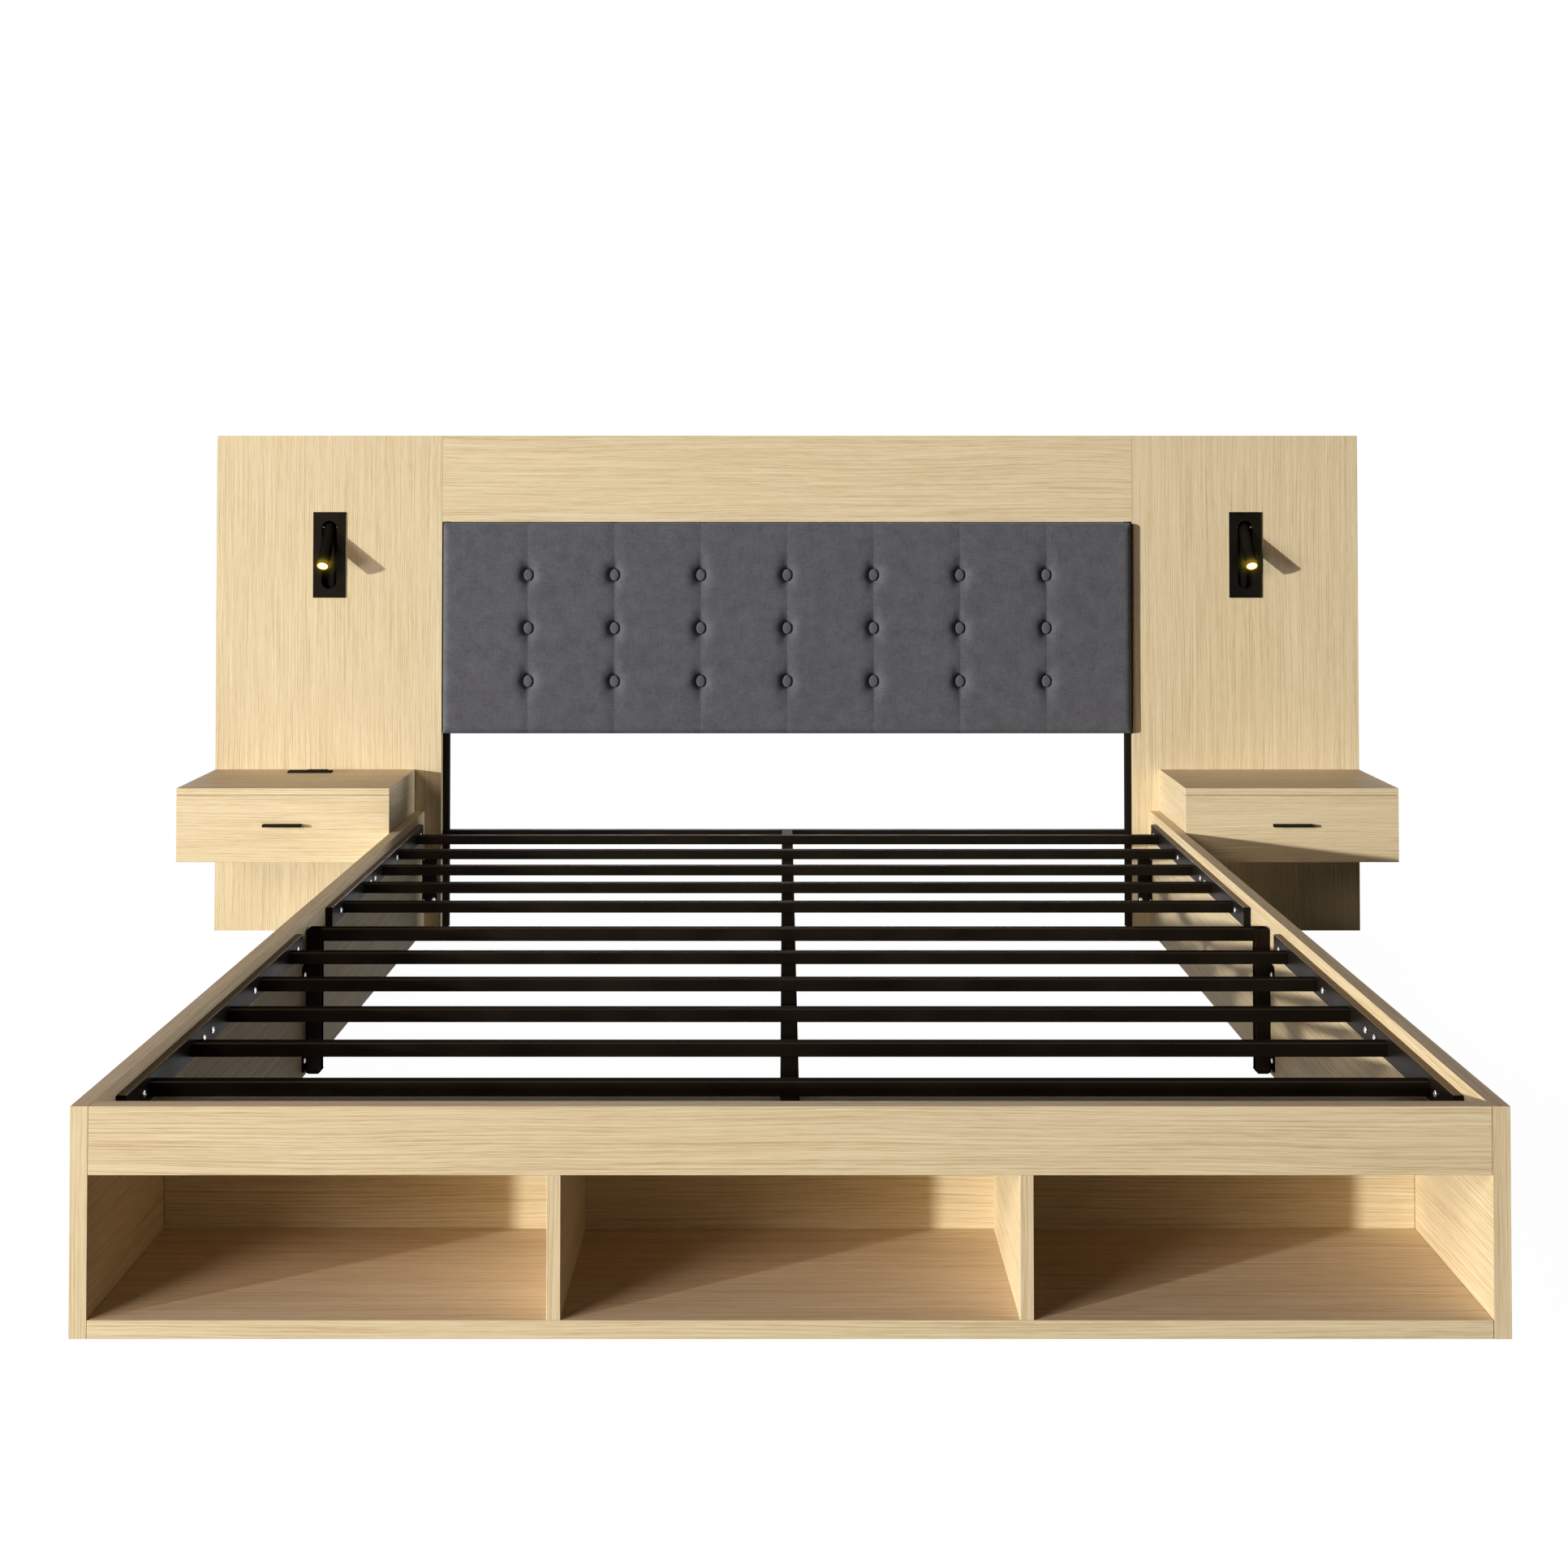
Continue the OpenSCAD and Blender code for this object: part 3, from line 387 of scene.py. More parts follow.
def lens_distance(g, behind=False):
    """Distance from the middle of the nearer lens, in lens radii. The two lamps mirror each other.

    On what lies behind the head it is taken across the plate only, from where the lens shows.
    """
    low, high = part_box("lamp_lens_right")
    middle = (low + high) / 2
    place = g.vector("ABSOLUTE", object_place(g))
    if behind:
        middle = Vector((middle.x + GLOW_SHIFT, 0.0, middle.z))
        place = g.vector("MULTIPLY", place, (1.0, 0.0, 1.0))
    apart = g.add("ShaderNodeVectorMath", {"operation": "DISTANCE"})
    g.fill(apart, (place, middle))
    return g.math("DIVIDE", apart.outputs["Value"], LENS_R)


def painted_lens_glow(g, where):
    """Colour and strength of the lens's stray light, painted as emission on the head or on what lies
    behind it.
    """
    behind = where == "behind"
    share = g.spread(lens_distance(g, behind), GLOW_START, GLOW_REACH, 1.0, 0.0)
    near = g.math("MULTIPLY", g.math("POWER", share, NEAR_GLOW_POWER), NEAR_GLOW[where])
    far = g.math("MULTIPLY", g.math("POWER", share, FAR_GLOW_POWER), FAR_GLOW)
    level = g.math("ADD", near, far)
    if behind:
        facing = g.split(object_normal(g))[1]
        level = g.math("MULTIPLY", level, g.math("LESS_THAN", facing, GLOW_TURNED_AWAY))
    return {"Emission_Color": g.ramp(share, GLOW_HUES), "Emission_Strength": level}


def coated(name, colour, roughness, peel, metal=0.55, sheen=0.15, level=0.0, painted_top_light=None, glow=None):
    """Powder coat or moulded plastic: fine peel and an uneven gloss.

    Sheen sets how bright its edges turn, and the colour given for faces that look up is a painted
    highlight, lighter than the coat. Glow is "head" or "behind" for the parts on which the lens's light is
    painted as emission.
    """
    material, g = new_material(name)
    place = object_place(g)
    skin = g.noise(place, peel)
    wear = g.noise(place, WEAR_SCALE, detail=3.0)
    base = g.tones(wear, shade(colour, DARKER), shade(colour, LIGHTER))
    # Painted highlight: faces that look up take a lighter colour, as where light falls on them
    if painted_top_light:
        painted_top_mask = g.math("GREATER_THAN", g.split(object_normal(g))[2], FACE_ON)
        base = g.mix("RGBA", painted_top_mask, base, (*painted_top_light, 1.0))
    smooth, rough = (roughness + swing for swing in WEAR_SWING)
    finish_material(
        g,
        Base_Color=base,
        Metallic=metal,
        Roughness=g.spread(wear, NOISE_LOW, NOISE_HIGH, smooth, rough),
        Specular_IOR_Level=level,
        Specular_Tint=(sheen, sheen, sheen, 1.0),
        Normal=g.bump(skin, PEEL_RELIEF, PEEL_RELIEF_SHARE),
        **(painted_lens_glow(g, glow) if glow else {}),
    )
    return material


def zinc(name, colour, roughness):
    material, g = new_material(name)
    spangle = g.noise(object_place(g), SPANGLE_SCALE)
    smooth, rough = (roughness + swing for swing in SPANGLE_SWING)
    finish_material(
        g,
        Base_Color=g.tones(spangle, shade(colour, DARKER), colour),
        Metallic=1.0,
        Roughness=g.spread(spangle, NOISE_LOW, NOISE_HIGH, smooth, rough),
    )
    return material


def lamp_light(name):
    """Glowing diffuser, brightest in its middle."""
    material, g = new_material(name)
    share = lens_distance(g)
    grain = g.noise(object_place(g), LENS_GRAIN_SCALE, detail=1.0)
    inside = g.math("SUBTRACT", 1.0, g.math("MULTIPLY", share, share), clamp=True)
    fade = g.math("POWER", inside, LENS_FADE)
    finish_material(
        g,
        Base_Color=(0.9, 0.8, 0.5, 1.0),
        Roughness=g.spread(grain, 0.0, 1.0, *LENS_ROUGHNESS),
        Emission_Color=g.ramp(share, LENS_HUES),
        Emission_Strength=g.math("ADD", g.math("MULTIPLY", fade, LENS_LEVEL), 1.0),
    )
    return material


# ---- Linen ----

LINEN_DARK = (0.071, 0.073, 0.090)
LINEN_LIGHT = (0.162, 0.167, 0.204)
# Scales of a thread's noise along and across it, and of the patches
THREAD_ALONG = 90.0
THREAD_ACROSS = 820.0
PATCH_SCALE = 30.0
THREAD_SHARE = 0.70
PATCH_SHARE = 0.30
# Spacing of the threads, and the height of their weave
THREAD_GAP = 1.3 * MM
WEAVE_SHARE = 0.3
WEAVE_RELIEF = 0.5 * MM
WEAVE_RELIEF_SHARE = 0.6


def linen(name):
    """Grey melange linen: crossed threads of uneven tone over soft patches."""
    material, g = new_material(name)
    place = object_place(g)
    warp = g.noise(place, (THREAD_ACROSS, THREAD_ALONG, THREAD_ALONG), roughness=0.6)
    weft = g.noise(place, (THREAD_ALONG, THREAD_ALONG, THREAD_ACROSS), roughness=0.6)
    patch = g.noise(place, PATCH_SCALE, detail=3.0, roughness=0.6)
    threads = g.math("MULTIPLY", g.math("ADD", warp, weft), 0.5)
    tone = g.math("ADD", g.math("MULTIPLY", threads, THREAD_SHARE), g.math("MULTIPLY", patch, PATCH_SHARE))
    x, _, z = g.split(place)
    across = g.math("SINE", g.math("MULTIPLY", x, 2 * math.pi / THREAD_GAP))
    down = g.math("SINE", g.math("MULTIPLY", z, 2 * math.pi / THREAD_GAP))
    weave = g.math("MULTIPLY", across, down)
    height = g.math("ADD", g.math("MULTIPLY", weave, WEAVE_SHARE), threads)
    finish_material(
        g,
        Base_Color=g.tones(tone, LINEN_DARK, LINEN_LIGHT),
        Roughness=0.92,
        Specular_IOR_Level=0.12,
        Sheen_Weight=0.22,
        Sheen_Roughness=0.45,
        Sheen_Tint=(0.72, 0.78, 0.88, 1.0),
        Normal=g.bump(height, WEAVE_RELIEF, WEAVE_RELIEF_SHARE),
    )
    return material


# ---- Meshes ----


def make_mesh(name, points, faces, smooth=False):
    mesh = bpy.data.meshes.new(name)
    mesh.from_pydata(points, [], faces)
    mesh.validate()
    if smooth:
        mesh.shade_smooth()
    return mesh


def tube_faces(first, rings, turns):
    """Quads that join rings of points, and a fan from the last ring to the point after it."""
    faces = []
    for i in range(rings - 1):
        low = first + i * turns
        for k in range(turns):
            n = (k + 1) % turns
            faces.append((low + k, low + n, low + turns + n, low + turns + k))
    last = first + (rings - 1) * turns
    return faces + [(last + k, last + (k + 1) % turns, last + turns) for k in range(turns)]


def block(low, high):
    """Corner points and faces of an upright box."""
    points = [(x, y, z) for x in (low[0], high[0]) for y in (low[1], high[1]) for z in (low[2], high[2])]
    faces = [(0, 1, 3, 2), (4, 6, 7, 5), (0, 4, 5, 1), (2, 3, 7, 6), (0, 2, 6, 4), (1, 5, 7, 3)]
    return points, faces


def link(name, mesh, material):
    made = bpy.data.objects.new(name, mesh)
    bpy.context.scene.collection.objects.link(made)
    made.data.materials.append(material)
    return made


# ---- Padded panel ----

TUFT_COLUMNS = 7
TUFT_ROWS = 3
STEPS_BETWEEN_TUFTS = 30
# How much closer the stations stand at the tufts than midway: 0 is even, 1 is touching
CROWDING = 0.8
# Width of the rolled border, and how far the cover stands off its board there and inside
ROLL = 18 * MM
EDGE_DEPTH = 11 * MM
CROWN_DEPTH = 28 * MM
# How deep a stitch pulls the cloth, how wide its well is at the bottom, and how far it reaches
TUFT_DEPTH = 14 * MM
WELL_FLAT = 8 * MM
WELL_REACH = 36 * MM
WELL_POWER = 2.6
# A well is narrower across its crease than along it
WELL_STRETCH = (1.25, 0.86)
# The cloth dives under the button's edge, over this range in button sizes
PIT_DEPTH = 5 * MM
PIT_START = 1.1
PIT_REACH = 0.35
PIT_POWER = 1.5
CREASE_DEPTH = 4.4 * MM
CREASE_REACH = 30 * MM
CREASE_POWER = 2.4
# A crease is tightest beside its buttons, and has this share of its depth far from them
CREASE_SLACK = 0.32
TIGHT_REACH = 75 * MM
TIGHT_POWER = 1.5
# Folds round each well, turned by a noise of its own in radians
FOLDS = 7
FOLD_DEPTH = 0.45 * MM
FOLD_REACH = 1.3 * WELL_REACH
FOLD_TURN = 9.0
FOLD_NOISE = (31, 0.0, 47)
# Soft unevenness of the padding between the wells
SWELL = 0.5 * MM
SWELL_NOISE = (11, 3.0, 14)
# How far the border sits inside the board's, and how much further at the corners
EDGE_DRAW = 2.5 * MM
CORNER_DRAW = 4 * MM
# Each column's stitches draw the border in, and two columns' most of all
STITCH_DRAW = 0.6 * MM
TIGHT_DRAW = 1.7 * MM
DRAW_REACH = 40 * MM
DRAW_POWER = 2
TIGHT_COLUMNS = (1, 5)
# The cloth's pull makes each round button look upright: half its width, and height over width
BUTTON_R = 10.4 * MM
BUTTON_TALL = 1.24
BUTTON_H = 6 * MM
BUTTON_EDGE = 3.6 * MM
BUTTON_EDGE_STEPS = 8
BUTTON_CROWN = 0.3 * MM
BUTTON_CROWN_RINGS = (0.75, 0.5, 0.25)
BUTTON_PLEATS = 18
PLEAT_DEPTH = 0.16 * MM
# A pleat ends at the button's height over this, and fades towards the middle
PLEAT_END = 1.15
PLEAT_FADE = 6


def uneven(x, z, scales):
    """Smooth noise over the panel. Scales are those of x and z, with a slice of the noise between."""
    return noise.noise(Vector((x * scales[0], scales[1], z * scales[2])))


def crowded(low, high, tufts, steps):
    """Stations from low to high, closer together at the ends and at each tuft."""
    knots = [low, *tufts, high]
    found = [low]
    for a, b in zip(knots, knots[1:]):
        for i in range(1, steps + 1):
            t = i / steps
            found.append(a + (b - a) * (t - CROWDING * math.sin(2 * math.pi * t) / (2 * math.pi)))
    return found


def rolled(distance):
    """Share of the crown's height at a distance from the border."""
    t = min(max(distance, 0.0) / ROLL, 1.0)
    return math.sqrt(1 - (1 - t) ** 2)


def pulled(distance, flat, reach, power):
    """1 next to a stitch and 0 past its reach, steepest beside the stitch."""
    t = min(max(distance - flat, 0.0) / reach, 1.0)
    return (1 - t) ** power


def bump_up(t):
    """0 at 0 and at 1, smooth, 1 in the middle."""
    return math.sin(math.pi * min(max(t, 0.0), 1.0)) ** 2


class Pad:
    """Form of the padded panel, from its CAD box."""

    def __init__(self):
        self.low, self.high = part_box(NODES["padded_panel"].name)
        width = self.high.x - self.low.x
        height = self.high.z - self.low.z
        self.xs = [self.low.x + width * i / (TUFT_COLUMNS + 1) for i in range(1, TUFT_COLUMNS + 1)]
        self.zs = [self.low.z + height * j / (TUFT_ROWS + 1) for j in range(1, TUFT_ROWS + 1)]

    def border(self, x, z):
        return min(x - self.low.x, self.high.x - x), min(z - self.low.z, self.high.z - z)

    def depth(self, x, z):
        in_x, in_z = self.border(x, z)
        share = min(rolled(in_x), rolled(in_z))
        tuft_x = min(self.xs, key=lambda t: abs(t - x))
        tuft_z = min(self.zs, key=lambda t: abs(t - z))
        off_x = x - tuft_x
        off_z = z - tuft_z
        stretched = math.hypot(WELL_STRETCH[0] * off_x, WELL_STRETCH[1] * off_z)
        well = pulled(stretched, WELL_FLAT, WELL_REACH, WELL_POWER)
        tight = CREASE_SLACK + (1 - CREASE_SLACK) * pulled(abs(off_z), 0.0, TIGHT_REACH, TIGHT_POWER)
        crease = CREASE_DEPTH * tight * pulled(abs(off_x), 0.0, CREASE_REACH, CREASE_POWER)
        turn = FOLDS * math.atan2(off_z, off_x) + FOLD_TURN * uneven(tuft_x, tuft_z, FOLD_NOISE)
        along_fold = (math.hypot(off_x, off_z) - WELL_FLAT) / FOLD_REACH
        folds = FOLD_DEPTH * math.cos(turn) * bump_up(along_fold)
        swell = SWELL * uneven(x, z, SWELL_NOISE)
        pull = TUFT_DEPTH * well + crease * (1 - well) + folds + swell * (1 - well)
        in_buttons = math.hypot(off_x / BUTTON_R, off_z / (BUTTON_R * BUTTON_TALL))
        pull += PIT_DEPTH * pulled(in_buttons, PIT_START, PIT_REACH, PIT_POWER)
        return EDGE_DEPTH + share * (CROWN_DEPTH - EDGE_DEPTH - pull)

    def drawn(self, x, z):
        """The covered border sits in a little, most at the corners and at tight stitches."""
        in_x, in_z = self.border(x, z)
        near_x = 1 - rolled(in_x)
        near_z = 1 - rolled(in_z)
        draw_x = EDGE_DRAW + CORNER_DRAW * near_z**2
        draw_z = EDGE_DRAW + CORNER_DRAW * near_x**2
        for i, tuft in enumerate(self.xs):
            draw = TIGHT_DRAW if i in TIGHT_COLUMNS else STITCH_DRAW
            draw_z += draw * pulled(abs(x - tuft), 0.0, DRAW_REACH, DRAW_POWER)
        middle = (self.low.z + self.high.z) / 2
        return x - math.copysign(near_x * draw_x, x), z + math.copysign(near_z * draw_z, middle - z)


def pad_mesh(pad):
    xs = crowded(pad.low.x, pad.high.x, pad.xs, STEPS_BETWEEN_TUFTS)
    zs = crowded(pad.low.z, pad.high.z, pad.zs, STEPS_BETWEEN_TUFTS)
    back = pad.high.y
    points = []
    for x in xs:
        for z in zs:
            side, up = pad.drawn(x, z)
            points.append((side, back - pad.depth(x, z), up))
    rows = len(zs)
    faces = []
    for i in range(len(xs) - 1):
        for j in range(rows - 1):
            a = i * rows + j
            faces.append((a, a + rows, a + rows + 1, a + 1))
    # The border, once round, and the flat back inside it
    rim = [i * rows for i in range(len(xs))]
    rim += [(len(xs) - 1) * rows + j for j in range(1, rows)]
    rim += [i * rows + rows - 1 for i in range(len(xs) - 2, -1, -1)]
    rim += [j for j in range(rows - 2, 0, -1)]
    base = len(points)
    points += [(xs[k // rows], back, zs[k % rows]) for k in rim]
    for k in range(len(rim)):
        n = (k + 1) % len(rim)
        faces.append((rim[k], base + k, base + n, rim[n]))
    faces.append(tuple(base + k for k in range(len(rim) - 1, -1, -1)))
    return make_mesh("padded_cover", points, faces, smooth=True)


def button_mesh(pad):
    """Covered buttons, their cloth gathered in small pleats round the edge."""
    profile = [(BUTTON_R, 0.0), (BUTTON_R, BUTTON_H - BUTTON_EDGE)]
    for i in range(1, BUTTON_EDGE_STEPS + 1):
        a = math.radians(90 * i / BUTTON_EDGE_STEPS)
        r = BUTTON_R - BUTTON_EDGE * (1 - math.cos(a))
        profile.append((r, BUTTON_H - BUTTON_EDGE * (1 - math.sin(a))))
    for t in BUTTON_CROWN_RINGS:
        profile.append((t * (BUTTON_R - BUTTON_EDGE), BUTTON_H + BUTTON_CROWN * (1 - t * t)))
    turns = 4 * BUTTON_PLEATS
    floor = pad.high.y - (CROWN_DEPTH - TUFT_DEPTH)
    points = []
    faces = []
    for x in pad.xs:
        for z in pad.zs:
            base = len(points)
            for r, h in profile:
                pleat = PLEAT_DEPTH * bump_up(PLEAT_END * h / BUTTON_H) * (r / BUTTON_R) ** PLEAT_FADE
                for k in range(turns):
                    a = 2 * math.pi * k / turns
                    rr = r - pleat * (1 + math.cos(BUTTON_PLEATS * a))
                    points.append((x + rr * math.cos(a), floor - h, z + BUTTON_TALL * rr * math.sin(a)))
            points.append((x, floor - BUTTON_H - BUTTON_CROWN, z))
            faces += tube_faces(base, len(profile), turns)
            faces.append(tuple(base + k for k in range(turns - 1, -1, -1)))
    return make_mesh("covered_buttons", points, faces, smooth=True)


# ---- Hem ----

# The cover is folded round its board and stapled behind it
HEM_THICK = 0.8 * MM
HEM_WIDE = 32 * MM
HEM_GAP = 3 * MM
HEM_STEP = 12 * MM
HEM_RAGGED = 1.2 * MM
# Scales of the ragged edge's noise, along the hem and over its height, with its slice between
HEM_NOISE = (9, 5.0, 7)
# The hem keeps clear of the uprights and the hidden rails, and leaves out gaps too low for it
UPRIGHT_CLEAR = 1 * MM
RAIL_CLEAR = 1.5 * MM
LOWEST_RUN = 8 * MM
# Levels of one rail lie closer together than this
RAIL_TALL = 40 * MM
# Length, width and height of a staple, and the space from one to the next
STAPLE = (11 * MM, 1.1 * MM, 0.7 * MM)
STAPLE_GAP = 60 * MM
# How far staples stray from the hem's middle and lean in radians, with each one's noise: its
# scale along the hem, and its slice
STAPLE_STRAY = 2 * MM
STRAY_NOISE = (17, 0.3)
STAPLE_LEAN = 0.35
LEAN_NOISE = (29, 7.7)


def hem_runs():
    """Clear stretches of the board's rim: x and z ranges, and whether each lies along X."""
    low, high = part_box("padded_panel_board")
    rails = sorted({round(v.co.z, LEVEL_DIGITS) for v in NODES["hidden_cross_rails"].data.vertices})
    in_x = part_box("upright_right")[0].x - UPRIGHT_CLEAR
    bars = []
    for z in rails:
        if not bars or z - bars[-1][1] > RAIL_TALL:
            bars.append([z, z])
        bars[-1][1] = z
    found = []
    level = low.z + HEM_GAP
    for bottom, top in bars + [[high.z - HEM_GAP, None]]:
        stop = min(bottom - RAIL_CLEAR, high.z - HEM_GAP)
        if stop - level > LOWEST_RUN:
            found.append((level, stop))
        if top is None or top > high.z:
            break
        level = top + RAIL_CLEAR
    runs = []
    for bottom, top in found:
        if bottom < low.z + 2 * HEM_GAP:
            runs.append(((-in_x, in_x), (bottom, min(top, bottom + HEM_WIDE)), True))
        elif top > high.z - 2 * HEM_GAP:
            runs.append(((-in_x, in_x), (max(bottom, top - HEM_WIDE), top), True))
        else:
            for side in (-1, 1):
                runs.append((sorted((side * (in_x - HEM_WIDE), side * in_x)), (bottom, top), False))
    return high.y, runs


def hem_mesh(plane, runs):
    """Cut edge of the cover, a little uneven along its free side."""
    points = []
    faces = []
    middle = sum(sum(z_range) for _, z_range, _ in runs) / (2 * len(runs))
    along, piece, over = HEM_NOISE
    for x_range, z_range, flat in runs:
        run = x_range if flat else z_range
        steps = round((run[1] - run[0]) / HEM_STEP)
        for i in range(steps + 1):
            t = i / steps
            place = Vector((x_range[0] + along * t, piece, z_range[0] * over))
            ragged = abs(HEM_RAGGED * noise.noise(place))
            at = run[0] + t * (run[1] - run[0])
            if not flat:
                held = max(x_range, key=abs)
                free = min(x_range, key=abs)
                ring = [(held, at), (free + math.copysign(ragged, free), at)]
            elif z_range[0] < middle:
                ring = [(at, z_range[0]), (at, z_range[1] - ragged)]
            else:
                ring = [(at, z_range[1]), (at, z_range[0] + ragged)]
            for x, z in ring:
                points += [(x, plane, z), (x, plane + HEM_THICK, z)]
            if i:
                a = len(points) - 8
                b = a + 4
                faces += [(a + 1, b + 1, b + 3, a + 3), (a, a + 2, b + 2, b), (a, b, b + 1, a + 1)]
                faces.append((a + 2, a + 3, b + 3, b + 2))
            if i in (0, steps):
                a = len(points) - 4
                faces.append((a, a + 1, a + 3, a + 2))
    mesh = make_mesh("cover_hem", points, faces)
    made = bmesh.new()
    made.from_mesh(mesh)
    bmesh.ops.recalc_face_normals(made, faces=made.faces)
    made.to_mesh(mesh)
    made.free()
    return mesh


def staple_noise(along, run, scale, piece):
    return noise.noise(Vector((along * scale, run, piece)))


def staple_mesh(plane, runs):
    """Staples through the hem, each a little askew."""
    points = []
    faces = []
    half = [side / 2 for side in STAPLE]
    shape, quads = block((-half[0], 0.0, -half[1]), (half[0], STAPLE[2], half[1]))
    for number, (x_range, z_range, flat) in enumerate(runs):
        run, across = (x_range, z_range) if flat else (z_range, x_range)
        count = max(round((run[1] - run[0]) / STAPLE_GAP), 1)
        for i in range(count):
            along = run[0] + (i + 0.5) * (run[1] - run[0]) / count
            middle = sum(across) / 2 + STAPLE_STRAY * staple_noise(along, number, *STRAY_NOISE)
            lean = STAPLE_LEAN * staple_noise(along, number, *LEAN_NOISE)
            if not flat:
                lean += math.pi / 2
            x, z = (along, middle) if flat else (middle, along)
            turn = Matrix.Translation((x, plane + HEM_THICK, z)) @ Matrix.Rotation(lean, 4, "Y")
            base = len(points)
            points += [tuple(turn @ Vector(p)) for p in shape]
            faces += [tuple(base + k for k in quad) for quad in quads]
    return make_mesh("hem_staples", points, faces)


# ---- Screws ----

SCREW_TURNS = 32
DOME_STEPS = 8
# Share of the head's height below its dome
HEAD_RIM = 0.3
# The cross in shares of the head's radius, its arms' half width in shares of its reach, its
# size at the bottom and the top, and how far over the head its cutter stands
CROSS_REACH = 0.58
CROSS_ARM = 0.24
CROSS_BOTTOM = 0.4
CROSS_TOP = 1.15
CUTTER_TOP = 1.15
# Radians that each screw is turned from the last
SCREW_TWIST = 2.4
# Digits of a metre that the screws' places are ordered by
ORDER_DIGITS = 4
# Points this close are one, levels this close are one, and sides this close are equal
SAME_POINT = 0.005 * MM
SAME_LEVEL = 0.02 * MM
SAME_SIDE = 0.05 * MM


def corners(points):
    low = Vector([min(p[i] for p in points) for i in range(3)])
    high = Vector([max(p[i] for p in points) for i in range(3)])
    return low, high


def islands(mesh):
    """Places of each group of joined vertices, in a fixed order."""
    made = bmesh.new()
    made.from_mesh(mesh)
    bmesh.ops.remove_doubles(made, verts=made.verts, dist=SAME_POINT)
    left = set(made.verts)
    found = []
    for first in list(made.verts):
        if first not in left:
            continue
        left.remove(first)
        group = [first]
        for vertex in group:
            for edge in vertex.link_edges:
                other = edge.other_vert(vertex)
                if other in left:
                    left.remove(other)
                    group.append(other)
        found.append([v.co.copy() for v in group])
    made.free()
    return sorted(found, key=lambda points: tuple(round(c, ORDER_DIGITS) for c in corners(points)[0]))


def revolved(profile, turns):
    """Closed mesh data from (radius, height) pairs that start and end on the axis."""
    points = [(0.0, 0.0, profile[0][1])]
    for r, h in profile[1:-1]:
        for k in range(turns):
            a = 2 * math.pi * k / turns
            points.append((r * math.cos(a), r * math.sin(a), h))
    points.append((0.0, 0.0, profile[-1][1]))
    faces = [(0, 1 + (k + 1) % turns, 1 + k) for k in range(turns)]
    return points, faces + tube_faces(1, len(profile) - 2, turns)


def cross_cutter(reach, low, high):
    """Tapered cross that cuts the driver's recess of a screw."""
    half = CROSS_ARM * reach
    outline = [(half, half), (half, reach), (-half, reach), (-half, half), (-reach, half), (-reach, -half)]
    outline += [(-x, -y) for x, y in outline]
    points = [(CROSS_BOTTOM * x, CROSS_BOTTOM * y, low) for x, y in outline]
    points += [(CROSS_TOP * x, CROSS_TOP * y, high) for x, y in outline]
    count = len(outline)
    faces = [tuple(range(count - 1, -1, -1)), tuple(range(count, 2 * count))]
    faces += [(k, (k + 1) % count, count + (k + 1) % count, count + k) for k in range(count)]
    return points, faces


def screw_shape(head_r, head_h, shank_r, shank_l):
    """Domed screw along +Z, its seat at the origin, with a cross recess."""
    profile = [(0.0, -shank_l), (shank_r, -shank_l), (shank_r, 0.0), (head_r, 0.0)]
    profile.append((head_r, HEAD_RIM * head_h))
    for i in range(1, DOME_STEPS):
        a = math.radians(90 * i / DOME_STEPS)
        profile.append((head_r * math.cos(a), head_h * (HEAD_RIM + (1 - HEAD_RIM) * math.sin(a))))
    profile.append((0.0, head_h))
    cross = cross_cutter(CROSS_REACH * head_r, HEAD_RIM * head_h, CUTTER_TOP * head_h)
    made = []
    for points, faces in (revolved(profile, SCREW_TURNS), cross):
        made.append(bpy.data.objects.new("blank", make_mesh("blank", points, faces)))
        bpy.context.scene.collection.objects.link(made[-1])
    cut = made[0].modifiers.new("cross", "BOOLEAN")
    cut.object = made[1]
    cut.solver = "EXACT"
    shape = bpy.data.meshes.new_from_object(made[0].evaluated_get(bpy.context.evaluated_depsgraph_get()))
    for blank in made:
        bpy.data.objects.remove(blank)
    return shape


def screw_mesh(name, node):
    """Domed screws in the places and sizes of a node's plain ones."""
    shapes = {}
    whole = bmesh.new()
    for number, points in enumerate(islands(node.data)):
        low, high = corners(points)
        size = high - low
        # The two sides across a screw are equal
        axis = next(i for i in range(3) if abs(size[(i + 1) % 3] - size[(i + 2) % 3]) < SAME_SIDE)
        head_r = sorted(size)[1] / 2
        levels = sorted({round(p[axis], LEVEL_DIGITS) for p in points})
        up = levels[-1] - levels[-2] < levels[1] - levels[0]
        seat, top, tip = (levels[-2], levels[-1], levels[0]) if up else (levels[1], levels[0], levels[-1])
        middle = (low + high) / 2
        middle[axis] = seat
        ring = [p for p in points if abs(p[axis] - tip) < SAME_LEVEL]
        shank_r = max((p - middle).length_squared - (p[axis] - seat) ** 2 for p in ring) ** 0.5
        sizes = (head_r, abs(top - seat), shank_r, abs(tip - seat))
        key = tuple(round(part, LEVEL_DIGITS) for part in sizes)
        if key not in shapes:
            shapes[key] = screw_shape(*key)
        direction = Vector((0.0, 0.0, 0.0))
        direction[axis] = 1.0 if up else -1.0
        turn = direction.to_track_quat("Z", "Y").to_matrix().to_4x4()
        twist = Matrix.Rotation(SCREW_TWIST * number, 4, "Z")
        piece = shapes[key].copy()
        piece.transform(Matrix.Translation(middle) @ turn @ twist)
        whole.from_mesh(piece)
        bpy.data.meshes.remove(piece)
    mesh = bpy.data.meshes.new(name)
    whole.to_mesh(mesh)
    whole.free()
    mesh.shade_smooth()
    return mesh


# ---- Dressing the CAD nodes ----

EDGE_ROUND = {"oak_board": 0.6 * MM, "black_steel": 0.3 * MM}
# Corners this close are joined, faces this flat become one, and edges this sharp are rounded
SEAM = 0.01 * MM
FLAT_ANGLE_DEG = 0.5
SHARP_ANGLE_DEG = 35


